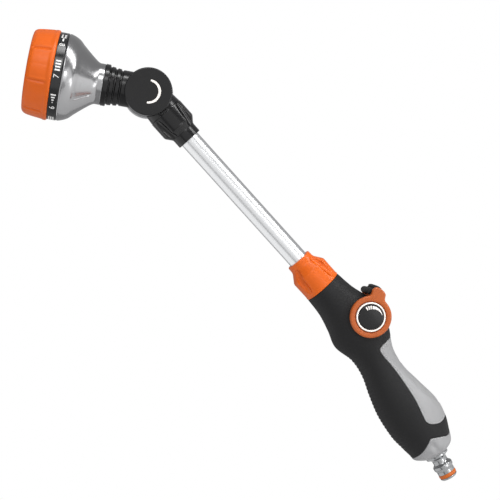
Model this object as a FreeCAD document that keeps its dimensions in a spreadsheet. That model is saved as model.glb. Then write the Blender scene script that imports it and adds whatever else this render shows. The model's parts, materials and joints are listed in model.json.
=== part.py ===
import FreeCAD, Part
import math
import os
import re
import Sketcher

# Garden watering wand, in millimetres.
# Frame: +Z runs up the straight tube, the head leans towards -X, the thumb lever is on the +X side,
# and the origin is the middle of the hose plug's catch ridge, on the plug's own axis.
# Every turned piece is drawn as a half outline of (radius, height) on one of five axes:
# the plug, the tube, the valve, the tilt pivot and the head.

Vector = FreeCAD.Vector
Placement = FreeCAD.Placement
Rotation = FreeCAD.Rotation

doc = FreeCAD.newDocument("watering_wand")

# ---------------------------------------------------------------- driving dimensions

DIMENSIONS = {
    # hose plug, measured along its own axis from the tip
    "plug_tilt": 12, "plug_bore": 4.8, "plug_tip": 11.7, "plug_barrel": 7.6, "plug_catch": 8.65,
    "plug_neck": 6.5, "plug_flange": 10.0, "plug_shank": 7.6, "plug_top": 35.7,
    # handle skins
    "cover_wall": 2.2, "core_wall": 2.2, "grip_top": 183, "handle_reach": 60,
    # valve and lever, measured from the middle plane along the valve's axis
    "valve_x": 37.45, "valve_z": 139.8, "boss_rad": 15, "boss_half": 17.6, "housing_rad": 11.3,
    "housing_half": 17.4, "drum_rad": 7.95, "drum_half": 11.8, "chamber_half": 13.4, "stub_rad": 3.5,
    "port_rad": 3.8, "pipe_rad": 5.0, "pipe_bore": 3.8, "run_gap": 0.06, "stem_square": 4.9,
    "lever_inner": 17.9, "lever_outer": 22.6, "lever_rad": 17.6, "web_face": 20.0, "bezel_rad": 12.75,
    "bezel_bore": 11.3, "cap_face": 23.4, "mark_rad": 8.8, "mark_wide": 1.5, "bar_rad": 18.6,
    # tube and the two nuts
    "tube_x": 25.8, "tube_rad": 8.5, "tube_wall": 1.2, "tube_foot": 187, "tube_end": 377,
    "nut_rad": 16.65, "nut_low": 183, "nut_high": 350, "nut_neck": 11.15, "thread_rad": 12.8,
    "upper_nut_rad": 15.5, "collar_top": 391, "flute_rad": 3.2, "flute_out": 18.9,
    # tilt pivot
    "pivot_z": 401.7, "knuckle_rad": 20.8, "knuckle_half": 18.0, "elbow_rad": 19.8, "elbow_half": 18.6,
    "pivot_gap": 0.6, "trunnion_rad": 8.5, "trunnion_end": 12.0, "cap_rad": 12.6, "crescent_rad": 9.2,
    "crescent_wide": 1.9,
    # head, measured from the pivot along the head's axis
    "head_tilt": 37.8, "neck_start": 12.0, "neck_rad": 14.6, "neck_flange": 17.4, "neck_end": 37.7,
    "shell_end": 71.0, "shell_rad": 36.2, "band_start": 71.4, "band_rad": 36.3, "dial_start": 78.7,
    "dial_rad": 37.6, "dial_end": 100.2, "dial_bore": 32.0, "post_rad": 5.0, "hub_foot": 72.0,
    "hub_rad": 33.3, "hub_end": 78.0, "ball_rad": 1.6,
}

dims = doc.addObject("Spreadsheet::Sheet", "dims")
for row, (alias, size) in enumerate(DIMENSIONS.items(), start=1):
    dims.set(f"A{row}", alias)
    dims.set(f"B{row}", str(size))
    dims.setAlias(f"B{row}", alias)
doc.recompute()


def linked(text):
    """Turn a sum of dimension names into an expression on the sheet."""
    def cell(word):
        return "dims." + word.group() if word.group() in DIMENSIONS else word.group()
    return re.sub(r"[a-z]\w*", cell, str(text))


def value(text):
    """The number that a sum of dimension names comes to."""
    return float(dims.evalExpression(linked(text)))


# ---------------------------------------------------------------- axes

Y_TURN = Vector(0, 1, 0)
X_TURN = Vector(1, 0, 0)
Z_TURN = Vector(0, 0, 1)


def axis_at(x, y, z, turn=None, degrees=0.0):
    rotation = Rotation(turn, degrees) if turn else Rotation()
    return Placement(Vector(x, y, z), rotation)


def along(spot, distance):
    """The same axis, started further along it."""
    return spot.multiply(Placement(Vector(0, 0, distance), Rotation()))


PLUG = along(axis_at(0, 0, 0, Y_TURN, value("plug_tilt")), -value("plug_tip"))
TUBE = axis_at(value("tube_x"), 0, 0)
HEAD = axis_at(value("tube_x"), 0, value("pivot_z"), Y_TURN, -value("head_tilt"))
FRONT, BACK = -1, 1          # the lever's and pivot's two sides, -Y and +Y


def valve_axis(side):
    return axis_at(value("valve_x"), 0, value("valve_z"), X_TURN, -90 * side)


def pivot_axis(side):
    return axis_at(value("tube_x"), 0, value("pivot_z"), X_TURN, -90 * side)


def aimed(start, end):
    """An axis from one point towards another."""
    rotation = Rotation(Vector(0, 0, 1), end - start)
    return Placement(start, rotation)


# ---------------------------------------------------------------- features

def sketch_on(body, role, name, outline):
    """A closed polygon sketch on one of the body's planes, each corner bound to the sheet."""
    sketch = body.newObject("Sketcher::SketchObject", name)
    plane = [item for item in body.Origin.OriginFeatures if item.Role == role][0]
    sketch.AttachmentSupport = [(plane, "")]
    sketch.MapMode = "FlatFace"
    corners = [Vector(value(across), value(up), 0) for across, up in outline]
    count = len(corners)
    for index, corner in enumerate(corners):
        sketch.addGeometry(Part.LineSegment(corner, corners[(index + 1) % count]), False)
    for index in range(count):
        sketch.addConstraint(Sketcher.Constraint("Coincident", index, 2, (index + 1) % count, 1))
    for index, (across, up) in enumerate(outline):
        for kind, text in (("DistanceX", across), ("DistanceY", up)):
            number = sketch.addConstraint(Sketcher.Constraint(kind, -1, 1, index, 1, value(text)))
            sketch.setExpression(f"Constraints[{number}]", linked(text))
    return sketch


def turned(name, spot, outline):
    """A turned piece: (radius, height) outline swept once round the spot's axis."""
    body = doc.addObject("PartDesign::Body", name)
    sketch = sketch_on(body, "XZ_Plane", name + "_outline", outline)
    doc.recompute()
    feature = body.newObject("PartDesign::Revolution", name + "_turn")
    feature.Profile = sketch
    feature.ReferenceAxis = (sketch, ["V_Axis"])
    feature.Angle = 360
    body.Placement = spot
    return body


def ring(name, spot, inner, outer, low, high):
    """A plain ring, or a disc if the inner radius is 0."""
    return turned(name, spot, [(inner, low), (outer, low), (outer, high), (inner, high)])


def rod(name, spot, radius, low, high):
    item = doc.addObject("Part::Cylinder", name)
    item.setExpression("Radius", linked(radius))
    item.setExpression("Height", linked(f"({high}) - ({low})"))
    item.Placement = along(spot, value(low))
    return item


def block(name, spot, length, width, height):
    """A box centred on the spot's axis, standing on its origin."""
    item = doc.addObject("Part::Box", name)
    item.setExpression("Length", linked(length))
    item.setExpression("Width", linked(width))
    item.setExpression("Height", linked(height))
    corner = Placement(Vector(-value(length) / 2, -value(width) / 2, 0), Rotation())
    item.Placement = spot.multiply(corner)
    return item


def torus(name, spot, radius, thickness, height):
    item = doc.addObject("Part::Torus", name)
    item.setExpression("Radius1", linked(radius))
    item.setExpression("Radius2", linked(thickness))
    item.Placement = along(spot, value(height))
    return item


def cut(name, base, *tools):
    for index, tool in enumerate(tools):
        item = doc.addObject("Part::Cut", name if index == len(tools) - 1 else f"{name}_cut_{index}")
        item.Base = base
        item.Tool = tool
        base = item
    return base


def common(name, base, tool):
    item = doc.addObject("Part::Common", name)
    item.Base = base
    item.Tool = tool
    return item


def fuse(name, *shapes):
    item = doc.addObject("Part::MultiFuse", name)
    item.Shapes = list(shapes)
    item.Refine = True
    return item


def group(name, shapes):
    """Separate solids kept together in one sub-part."""
    item = doc.addObject("Part::Compound", name)
    item.Links = list(shapes)
    return item


def slab(name, spot, outline, thickness):
    """A flat piece: (across, up) outline on the spot's own XZ plane, thickened towards -Y."""
    body = doc.addObject("PartDesign::Body", name)
    sketch = sketch_on(body, "XZ_Plane", name + "_outline", outline)
    doc.recompute()
    pad = body.newObject("PartDesign::Pad", name + "_pad")
    pad.Profile = sketch
    pad.setExpression("Length", linked(thickness))
    body.Placement = spot
    return body


def around(spot, count, radius, offset=0.0):
    """Axes parallel to the spot's, evenly spaced on a circle about it."""
    places = []
    for index in range(count):
        turn = Placement(Vector(), Rotation(Z_TURN, offset + 360.0 * index / count))
        places.append(spot.multiply(turn).multiply(Placement(Vector(radius, 0, 0), Rotation())))
    return places


sub_parts = {}


def sub_part(item, label):
    item.Label = label
    sub_parts[label] = item
    return item


# ---------------------------------------------------------------- hose plug

plug_turning = turned("plug_turning", PLUG, [
    ("plug_bore", "0"), ("plug_barrel - 1.2", "0"), ("plug_barrel", "1.3"), ("plug_barrel", "2.2"),
    ("6.3", "2.2"), ("6.3", "4.9"), ("plug_barrel", "4.9"), ("plug_barrel", "plug_tip - 3.2"),
    ("plug_catch", "plug_tip - 1.3"), ("plug_catch", "plug_tip + 1.3"), ("plug_neck", "plug_tip + 3.4"),
    ("plug_neck", "plug_tip + 7.2"), ("plug_flange", "plug_tip + 9.6"),
    ("plug_flange", "plug_tip + 11.7"), ("plug_shank", "plug_tip + 11.7"), ("plug_shank", "plug_top"),
    ("plug_bore", "plug_top")])
sub_part(plug_turning, "hose_plug")

sub_part(torus("plug_seal", PLUG, "7.375", "1.075", "3.55"), "plug_o_ring")

screen_disc = ring("screen_disc", PLUG, "0", "plug_bore", "1", "2.4")
screen_holes = [rod(f"screen_hole_{number}", spot, "0.75", "0", "3")
                for number, spot in enumerate(around(PLUG, 6, 2.6) + [PLUG])]
sub_part(cut("screen", screen_disc, fuse("screen_holes", *screen_holes)), "inlet_screen")

# ---------------------------------------------------------------- handle skins

# Oval sections from the end bell up to the lower nut:
# centre x, centre z, half width along x, half width along y, tilt about y.
HANDLE_SECTIONS = [
    (1.9, 11.65, 10.9, 10.5, 12.0), (2.45, 16.05, 17.84, 15.5, 12.8), (4.95, 23.4, 20.47, 16.8, 7.3),
    (7.4, 34.0, 23.63, 17.8, 4.9), (8.95, 48.0, 25.4, 18.2, 1.0), (9.95, 69.0, 23.1, 17.6, 0),
    (12.5, 87.0, 19.55, 16.8, 0), (17.55, 104.0, 17.8, 16.4, 0), (23.45, 120.0, 21.4, 16.9, 0),
    (25.4, 137.5, 26.15, 17.55, 0), (26.25, 152.0, 22.3, 17.5, 0), (26.15, 167.0, 18.3, 16.9, 0),
    (25.8, 183.0, 16.65, 16.65, 0)]
for number, (centre_x, centre_z, wide, deep, tilt) in enumerate(HANDLE_SECTIONS):
    first_row = len(DIMENSIONS) + 1 + 2 * number
    for step, (word, size) in enumerate((("wide", wide), ("deep", deep))):
        dims.set(f"B{first_row + step}", str(size))
        dims.setAlias(f"B{first_row + step}", f"{word}_{number}_half")
doc.recompute()


def blend_weights(number):
    """Weights that put an extra oval halfway to the next one, on a smooth curve through both."""
    last = len(HANDLE_SECTIONS) - 1
    weights = {}
    for index, weight in ((number - 1, -1), (number, 9), (number + 1, 9), (number + 2, -1)):
        index = min(max(index, 0), last)
        weights[index] = weights.get(index, 0) + weight / 16
    return weights


def handle_skin(name, inset, first=0):
    """The handle's form, drawn in by an inset that may depend on the wall dimensions."""
    stations = []
    for number in range(first, len(HANDLE_SECTIONS)):
        stations.append({number: 1.0})
        if number < len(HANDLE_SECTIONS) - 1:
            stations.append(blend_weights(number))
    sections = []
    for place, weights in enumerate(stations):
        oval = doc.addObject("Part::Ellipse", f"{name}_oval_{place}")
        for size, word in (("MajorRadius", "wide"), ("MinorRadius", "deep")):
            blend = " + ".join(f"{weight} * dims.{word}_{index}_half" for index, weight in weights.items())
            oval.setExpression(size, f"{blend} - ({linked(inset)})")
        centre_x, centre_z, tilt = [
            sum(weight * HANDLE_SECTIONS[index][column] for index, weight in weights.items())
            for column in (0, 1, 4)]
        oval.Placement = axis_at(centre_x, 0, centre_z, Y_TURN, tilt)
        sections.append(oval)
    loft = doc.addObject("Part::Loft", name)
    loft.Sections = sections
    loft.Solid = True
    loft.Ruled = False
    return loft


outer_form = handle_skin("outer_form", "0")
core_form = handle_skin("core_form", "cover_wall")
hollow_form = handle_skin("hollow_form", "cover_wall + core_wall", first=1)


def side_prism(name, points, closing):
    """Everything to one side of a smooth curve in the XZ plane, right across the handle."""
    curve = Part.BSplineCurve()
    curve.interpolate([Vector(x, 0, z) for x, z in points])
    corners = [Vector(x, 0, z) for x, z in [points[-1]] + closing + [points[0]]]
    sides = [Part.LineSegment(start, end).toShape() for start, end in zip(corners, corners[1:])]
    face = Part.Face(Part.Wire([curve.toShape()] + sides))
    reach = value("handle_reach")
    face.translate(Vector(0, -reach / 2, 0))
    item = doc.addObject("Part::Feature", name)
    item.Shape = face.extrude(Vector(0, reach, 0))
    return item


BELL_SEAM = [(-40, 22), (-15, 23), (-6, 23.8), (2, 26.3), (6.55, 28.1), (11, 25.4), (16, 21.8),
             (22, 18.2), (40, 16)]
below_seam = side_prism("below_seam", BELL_SEAM, [(40, -20), (-40, -20)])
INSERT_EDGE = [(44, 112.2), (35, 113.6), (27.5, 114.1), (24.6, 112), (23.7, 105), (23.85, 96.8),
               (22.5, 82), (19.2, 62.3), (15, 48.3), (13.3, 42), (15.3, 37), (21.3, 32.3), (27.6, 31.2),
               (36, 32.5)]
insert_side = side_prism("insert_side", INSERT_EDGE, [(60, 32.5), (60, 112.2)])

shank_hole = rod("shank_hole", PLUG, "plug_shank", "plug_tip + 5", "plug_top + 4")
bell_skin = cut("bell_skin", outer_form, hollow_form)
sub_part(cut("bell", common("bell_blank", bell_skin, below_seam), shank_hole), "end_bell")

housing_hole = rod("housing_hole", axis_at(value("valve_x"), 30, value("valve_z"), X_TURN, 90),
                   "housing_rad", "0", "handle_reach")
core_skin = cut("core_skin", core_form, hollow_form, below_seam, housing_hole)
front_half = block("front_half", axis_at(0, -30, -20), "200", "handle_reach", "260")
back_half = block("back_half", axis_at(0, 30, -20), "200", "handle_reach", "260")
sub_part(common("core_front", core_skin, front_half), "handle_core_left")
sub_part(common("core_back", core_skin, back_half), "handle_core_right")

valve_boss = rod("valve_boss", axis_at(value("valve_x"), value("boss_half"), value("valve_z"), X_TURN, 90),
                 "boss_rad", "0", "2 * boss_half")
cover_blank = cut("cover_blank", fuse("cover_form", outer_form, valve_boss), core_form, below_seam)
sub_part(cut("cover", cover_blank, insert_side, housing_hole), "grip_cover")
insert_skin = cut("insert_skin", outer_form, core_form, below_seam, valve_boss)
sub_part(common("insert", insert_skin, insert_side), "back_insert")

# ---------------------------------------------------------------- valve

VALVE_CENTRE = Vector(value("valve_x"), 0, value("valve_z"))
PLUG_INNER_END = along(PLUG, value("plug_top") + 2).Base
PIPE_BEND = Vector(19.5, 0, 86)
INLET = aimed(VALVE_CENTRE, PIPE_BEND)
OUTLET = aimed(VALVE_CENTRE, Vector(value("tube_x"), 0, 170))
PIPE_START = 10.0            # distance from the valve's axis at which both pipes begin


def bent_rod(name, start, bend, end, bend_radius, radius):
    """A round bar that runs straight, turns through one arc and runs straight again."""
    arriving = (bend - start).normalize()
    leaving = (end - bend).normalize()
    turn = arriving.getAngle(leaving)
    trim = bend_radius * math.tan(turn / 2)
    arc_start = bend - arriving * trim
    arc_end = bend + leaving * trim
    bulge = (leaving - arriving).normalize()
    middle = bend + bulge * (bend_radius / math.cos(turn / 2) - bend_radius)
    edges = [Part.LineSegment(start, arc_start), Part.Arc(arc_start, middle, arc_end),
             Part.LineSegment(arc_end, end)]
    path = Part.Wire([edge.toShape() for edge in edges])
    section = Part.Wire([Part.makeCircle(radius, start, arriving)])
    item = doc.addObject("Part::Feature", name)
    item.Shape = path.makePipeShell([section], True, True)
    return item


inlet_ends = [along(INLET, PIPE_START).Base, PIPE_BEND, PLUG_INNER_END]
inlet_solid = bent_rod("inlet_solid", *inlet_ends, 90, value("pipe_rad"))
inlet_bore = bent_rod("inlet_bore", *inlet_ends, 90, value("pipe_bore"))
outlet_solid = rod("outlet_solid", OUTLET, "pipe_rad", PIPE_START, "29")
sub_part(cut("inlet_run", inlet_solid, inlet_bore), "inlet_pipe")
sub_part(ring("outlet_run", OUTLET, "pipe_bore", "pipe_rad", PIPE_START, "29"), "outlet_pipe")

grommet_blank = rod("grommet_blank", PLUG, "9.8", "plug_top - 6", "plug_top + 13")
grommet_way = rod("grommet_way", PLUG, "pipe_bore", "plug_top - 6", "plug_top + 13")
grommet_seat = rod("grommet_seat", PLUG, "plug_shank", "plug_top - 8", "plug_top")
sub_part(cut("grommet", grommet_blank, inlet_solid, grommet_way, grommet_seat), "inlet_grommet")

FRONT_VALVE = valve_axis(FRONT)
inlet_socket = rod("inlet_socket", INLET, "pipe_rad", "6", "20")
outlet_socket = rod("outlet_socket", OUTLET, "pipe_rad", "6", "20")
housing_turning = turned("housing_turning", FRONT_VALVE, [
    ("stub_rad + run_gap", "chamber_half"), ("stub_rad + run_gap", "housing_half"),
    ("housing_rad", "housing_half"), ("housing_rad", "-chamber_half"),
    ("drum_rad + run_gap", "-chamber_half"), ("drum_rad + run_gap", "chamber_half")])
sub_part(cut("housing", housing_turning, inlet_socket, outlet_socket), "valve_housing")

sub_part(turned("valve_lid_turning", valve_axis(BACK), [
    ("stub_rad + run_gap", "chamber_half - 1"), ("drum_rad", "chamber_half - 1"),
    ("drum_rad", "chamber_half"), ("housing_rad", "chamber_half"), ("housing_rad", "housing_half"),
    ("stub_rad + run_gap", "housing_half")]), "valve_lid")

bore_space = rod("bore_space", FRONT_VALVE, "drum_rad + run_gap", "-chamber_half", "chamber_half")
seats = []
for name, spot in (("inlet", INLET), ("outlet", OUTLET)):
    blank = ring(f"{name}_seat_ring", spot, "port_rad", "pipe_rad", "6", "10")
    seats.append(cut(f"{name}_seat", blank, bore_space))
sub_part(group("seats", seats), "valve_seats")

# The drum turns with the lever; its cross port lines up when the lever is pushed right back.
# O-ring grooves in both stubs, and square ends that drive the lever's arms.
drum_turning = turned("drum_turning", FRONT_VALVE, [
    ("0", "-web_face"), ("stub_rad", "-web_face"), ("stub_rad", "-16.4"), ("2.5", "-16.4"),
    ("2.5", "-15.1"), ("stub_rad", "-15.1"), ("stub_rad", "-drum_half"), ("drum_rad", "-drum_half"),
    ("drum_rad", "drum_half"), ("stub_rad", "drum_half"), ("stub_rad", "15.1"), ("2.5", "15.1"),
    ("2.5", "16.4"), ("stub_rad", "16.4"), ("stub_rad", "web_face"), ("0", "web_face")])
OPEN_TURN = 50.0             # degrees of lever travel from shut to full flow
port_way = rod("port_way", axis_at(value("valve_x"), 0, value("valve_z"), Y_TURN, -20 - OPEN_TURN),
               "port_rad", "-20", "20")
stem_trims = []
for side in (FRONT, BACK):
    end = along(valve_axis(side), value("lever_inner"))
    sleeve = rod(f"stem_sleeve_{side + 1}", end, "6", "0", "4")
    square = block(f"stem_square_{side + 1}", end, "stem_square", "stem_square", "5")
    screw_way = rod(f"stem_screw_way_{side + 1}", end, "1.4", "-6", "4")
    stem_trims.append(cut(f"stem_trim_{side + 1}", sleeve, square))
    stem_trims.append(screw_way)
sub_part(cut("drum", drum_turning, port_way, *stem_trims), "valve_drum")

sub_part(group("stem_rings", [
    torus(f"stem_ring_{side + 1}", valve_axis(side), "3.02", "0.5", "15.75") for side in (FRONT, BACK)
]), "stem_o_rings")

# ---------------------------------------------------------------- thumb lever

# Side outlines of the lever, measured from the valve's axis.
THUMB_TAB = [(2, 12), (8.5, 15.2), (11.3, 13.6), (13.4, 14.2), (16.4, 15.4), (19.6, 15.3), (21.6, 12.8),
             (22.4, 9.0), (21.7, 4.9), (17.6, 0.6), (13.5, -6)]
BRIDGE_BAR = [(12.0, 11.6), (13.2, 13.6), (19.0, 13.4), (20.4, 11.2), (20.9, 8.4), (20.2, 5.4),
              (17.2, 2.4), (15.5, 4.5)]
THUMB_PAD = [(10.9, 14.6), (11.8, 17.2), (13.7, 18.6), (15.9, 18.2), (17.3, 16.6), (18.6, 17.6),
             (20.8, 17.3), (22.9, 14.9), (23.7, 11.7), (23.3, 9.1), (20.5, 7.5), (17.0, 9.5)]


def lever_slab(name, outline, near, far):
    """A slab between two distances from the middle plane, on the -Y side if they are negative."""
    spot = axis_at(value("valve_x"), value(far), value("valve_z"))
    return slab(name, spot, outline, f"({far}) - ({near})")


bar_clearance = rod("bar_clearance", axis_at(value("valve_x"), 30, value("valve_z"), X_TURN, 90),
                    "bar_rad", "0", "handle_reach")
for side, hand in ((FRONT, "left"), (BACK, "right")):
    spot = valve_axis(side)
    reach = ("-lever_outer", "-lever_inner") if side == FRONT else ("lever_inner", "lever_outer")
    bridge = ("-lever_inner", "0") if side == FRONT else ("0", "lever_inner")
    disc = rod(f"{hand}_disc", spot, "lever_rad", "lever_inner", "lever_outer")
    tab = lever_slab(f"{hand}_tab", THUMB_TAB, *reach)
    bar = cut(f"{hand}_bar", lever_slab(f"{hand}_bar_blank", BRIDGE_BAR, *bridge), bar_clearance)
    recess = rod(f"{hand}_recess", spot, "bezel_rad", "web_face", "lever_outer + 1")
    drive = block(f"{hand}_drive", along(spot, value("lever_inner") - 1),
                  "stem_square", "stem_square", "4")
    blank = fuse(f"{hand}_arm_blank", disc, tab, bar)
    sub_part(cut(f"{hand}_arm", blank, recess, drive), f"lever_arm_{hand}")
    sub_part(ring(f"{hand}_bezel", spot, "bezel_bore", "bezel_rad", "web_face", "cap_face - 0.3"),
             f"hub_bezel_{hand}")
    sub_part(turned(f"{hand}_cap", spot, [
        ("4.4", "web_face"), ("bezel_bore", "web_face"), ("bezel_bore", "cap_face - 0.9"),
        ("bezel_bore - 1", "cap_face - 0.2"), ("bezel_bore - 1.6", "cap_face"), ("0", "cap_face"),
        ("0", "web_face + 2.2"), ("4.4", "web_face + 2.2")]), f"hub_cap_{hand}")
    mark = doc.addObject("PartDesign::Body", f"{hand}_mark_body")
    mark_outline = sketch_on(mark, "XZ_Plane", f"{hand}_mark_outline", [
        ("mark_rad - mark_wide / 2", "cap_face"), ("mark_rad + mark_wide / 2", "cap_face"),
        ("mark_rad + mark_wide / 2", "cap_face + 0.15"), ("mark_rad - mark_wide / 2", "cap_face + 0.15")])
    doc.recompute()
    sweep = mark.newObject("PartDesign::Revolution", f"{hand}_mark_sweep")
    sweep.Profile = mark_outline
    sweep.ReferenceAxis = (mark_outline, ["V_Axis"])
    sweep.Angle = 95
    first_angle = -22 if side == FRONT else -73
    mark.Placement = spot.multiply(Placement(Vector(), Rotation(Z_TURN, first_angle)))
    sub_part(mark, f"flow_mark_{hand}")

pad_blank = lever_slab("pad_blank", THUMB_PAD, "-boss_half", "boss_half")
pad_cuts = [bar_clearance, sub_parts["lever_arm_left"], sub_parts["lever_arm_right"]]
sub_part(cut("pad", pad_blank, *pad_cuts), "thumb_pad")

sub_part(group("lever_screw_pair", [
    turned(f"lever_screw_{side + 1}", valve_axis(side), [
        ("0", "web_face - 5"), ("1.4", "web_face - 5"), ("1.4", "web_face"), ("3.6", "web_face"),
        ("3.6", "web_face + 1.2"), ("2.4", "web_face + 1.9"), ("0", "web_face + 1.9")])
    for side in (FRONT, BACK)]), "lever_screws")

# ---------------------------------------------------------------- tube and nuts

socket_turning = turned("socket_turning", TUBE, [
    ("pipe_bore", "165"), ("11.2", "165"), ("11.2", "178"), ("12.2", "178"), ("12.2", "grip_top"),
    ("thread_rad", "grip_top"), ("thread_rad", "nut_low + 13"), ("tube_rad", "nut_low + 13"),
    ("tube_rad", "tube_foot"), ("6", "tube_foot"), ("6", "176"), ("pipe_bore", "172")])
sub_part(cut("socket", socket_turning, outlet_solid), "tube_socket")

sub_part(ring("tube_run", TUBE, "tube_rad - tube_wall", "tube_rad", "tube_foot", "tube_end"), "tube")

FLUTE_COUNT = 4


def fluted(name, blank, start, end, distance):
    """Cut long flutes between the nut's lobes."""
    spots = around(TUBE, FLUTE_COUNT, value(distance), 45)
    flutes = [rod(f"{name}_flute_{number}", spot, "flute_rad", start, end)
              for number, spot in enumerate(spots)]
    return cut(name, blank, fuse(f"{name}_flutes", *flutes))


lower_blank = turned("lower_blank", TUBE, [
    ("thread_rad", "nut_low"), ("nut_rad", "nut_low"), ("nut_rad", "nut_low + 18"),
    ("nut_neck", "nut_low + 25.5"), ("nut_neck", "nut_low + 31"), ("tube_rad", "nut_low + 31"),
    ("tube_rad", "nut_low + 23.5"), ("11", "nut_low + 17"), ("11", "nut_low + 13"),
    ("thread_rad", "nut_low + 13")])
sub_part(fluted("lower_fluted", lower_blank, "nut_low + 2.5", "nut_low + 28", "flute_out"), "lower_nut")

upper_blank = turned("upper_blank", TUBE, [
    ("tube_rad", "nut_high"), ("nut_neck - 0.1", "nut_high"), ("nut_neck - 0.1", "nut_high + 8.3"),
    ("upper_nut_rad", "nut_high + 14"), ("upper_nut_rad", "nut_high + 30"),
    ("thread_rad", "nut_high + 30"), ("thread_rad", "nut_high + 17.8"), ("11", "nut_high + 17.8"),
    ("11", "nut_high + 14"), ("tube_rad", "nut_high + 7.5")])
sub_part(fluted("upper_fluted", upper_blank, "nut_high + 3", "nut_high + 27.5", "flute_out - 1.15"),
         "upper_nut")

sub_part(ring("lower_seal_ring", TUBE, "tube_rad", "11", "nut_low + 13", "nut_low + 16.8"), "lower_seal")
sub_part(turned("lower_ferrule_ring", TUBE, [
    ("tube_rad", "nut_low + 16.9"), ("10.9", "nut_low + 16.9"), ("tube_rad + 0.15", "nut_low + 23"),
    ("tube_rad", "nut_low + 23")]), "lower_ferrule")
sub_part(ring("upper_seal_ring", TUBE, "tube_rad", "11", "nut_high + 14.1", "nut_high + 17.8"),
         "upper_seal")
sub_part(turned("upper_ferrule_ring", TUBE, [
    ("tube_rad", "nut_high + 8"), ("tube_rad + 0.15", "nut_high + 8"), ("10.9", "nut_high + 14"),
    ("tube_rad", "nut_high + 14")]), "upper_ferrule")

# ---------------------------------------------------------------- tilt pivot

FRONT_PIVOT = pivot_axis(FRONT)
BACK_PIVOT = pivot_axis(BACK)

# Tube side: spigot, rear disc and the hollow trunnion that carries the water across.
spigot = turned("spigot", TUBE, [
    ("0", "nut_high + 17.9"), ("thread_rad", "nut_high + 17.9"), ("thread_rad", "pivot_z - 8"),
    ("0", "pivot_z - 8")])
elbow_space = rod("elbow_space", FRONT_PIVOT, "elbow_rad + 0.35", "-pivot_gap", "30")
spigot_trimmed = cut("spigot_trimmed", spigot, elbow_space)
rear_disc = turned("rear_disc", BACK_PIVOT, [
    ("0", "pivot_gap"), ("knuckle_rad", "pivot_gap"), ("knuckle_rad", "knuckle_half - 2.2"),
    ("knuckle_rad - 0.7", "knuckle_half - 0.7"), ("knuckle_rad - 2.2", "knuckle_half"),
    ("0", "knuckle_half")])
trunnion = turned("trunnion", FRONT_PIVOT, [
    ("0", "-2"), ("trunnion_rad", "-2"), ("trunnion_rad", "2"), ("trunnion_rad - 1", "2"),
    ("trunnion_rad - 1", "3.2"), ("trunnion_rad", "3.2"), ("trunnion_rad", "9.4"),
    ("trunnion_rad - 1", "9.4"), ("trunnion_rad - 1", "10.6"), ("trunnion_rad", "10.6"),
    ("trunnion_rad", "trunnion_end"), ("0", "trunnion_end")])
knuckle_blank = fuse("knuckle_blank", spigot_trimmed, rear_disc, trunnion)
tube_space = rod("tube_space", TUBE, "tube_rad", "nut_high + 10", "tube_end")
CROSSING = Vector(value("tube_x"), 8.5, value("pivot_z"))
riser = rod("riser", aimed(Vector(value("tube_x"), 0, value("tube_end")), CROSSING), "3.6", "-1", "25.2")
cross_way = rod("cross_way", along(BACK_PIVOT, 8.5).multiply(Placement(Vector(), Rotation(X_TURN, 180))),
                "4.5", "0", "8.5 + trunnion_end - 3")
screw_way = rod("screw_way", FRONT_PIVOT, "1.8", "trunnion_end - 4", "trunnion_end + 1")
windows = []
for number in range(3):
    turn = Placement(Vector(), Rotation(Z_TURN, 60.0 * number))
    lying = along(FRONT_PIVOT, 6.3).multiply(turn).multiply(axis_at(0, 0, 0, Y_TURN, 90))
    windows.append(rod(f"window_{number}", lying, "1.8", "-12", "12"))
sub_part(cut("knuckle", knuckle_blank, tube_space, riser, cross_way, screw_way,
             fuse("windows", *windows)), "pivot_knuckle")

collar_blank = turned("collar_blank", TUBE, [
    ("thread_rad", "nut_high + 30.2"), ("upper_nut_rad - 0.3", "nut_high + 30.2"),
    ("upper_nut_rad - 1.4", "collar_top"), ("thread_rad", "collar_top")])
joint_space = turned("joint_space", FRONT_PIVOT, [
    ("0", "-30"), ("knuckle_rad + 0.3", "-30"), ("knuckle_rad + 0.3", "-pivot_gap"),
    ("elbow_rad + 0.35", "-pivot_gap"), ("elbow_rad + 0.35", "30"), ("0", "30")])
sub_part(cut("collar", collar_blank, joint_space), "knuckle_collar")

sub_part(group("trunnion_ring_pair", [
    torus(f"trunnion_ring_{number}", FRONT_PIVOT, "8.01", "0.5", height)
    for number, height in enumerate(("2.6", "10.0"))]), "trunnion_o_rings")

sub_part(ring("thrust_ring", FRONT_PIVOT, "trunnion_rad + 3", "elbow_rad - 2.5", "-0.45", "0.45"),
         "thrust_washer")

sub_part(turned("retainer_turning", FRONT_PIVOT, [
    ("1.8", "trunnion_end + 0.08"), ("cap_rad - 0.7", "trunnion_end + 0.08"),
    ("cap_rad - 0.7", "trunnion_end + 1.4"), ("1.8", "trunnion_end + 1.4")]), "pivot_retainer")
sub_part(turned("pivot_screw_turning", FRONT_PIVOT, [
    ("0", "trunnion_end - 2.9"), ("1.8", "trunnion_end - 2.9"), ("1.8", "trunnion_end + 1.4"),
    ("4", "trunnion_end + 1.4"), ("4", "trunnion_end + 2.6"), ("2.6", "trunnion_end + 3.4"),
    ("0", "trunnion_end + 3.4")]), "pivot_screw")

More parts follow.
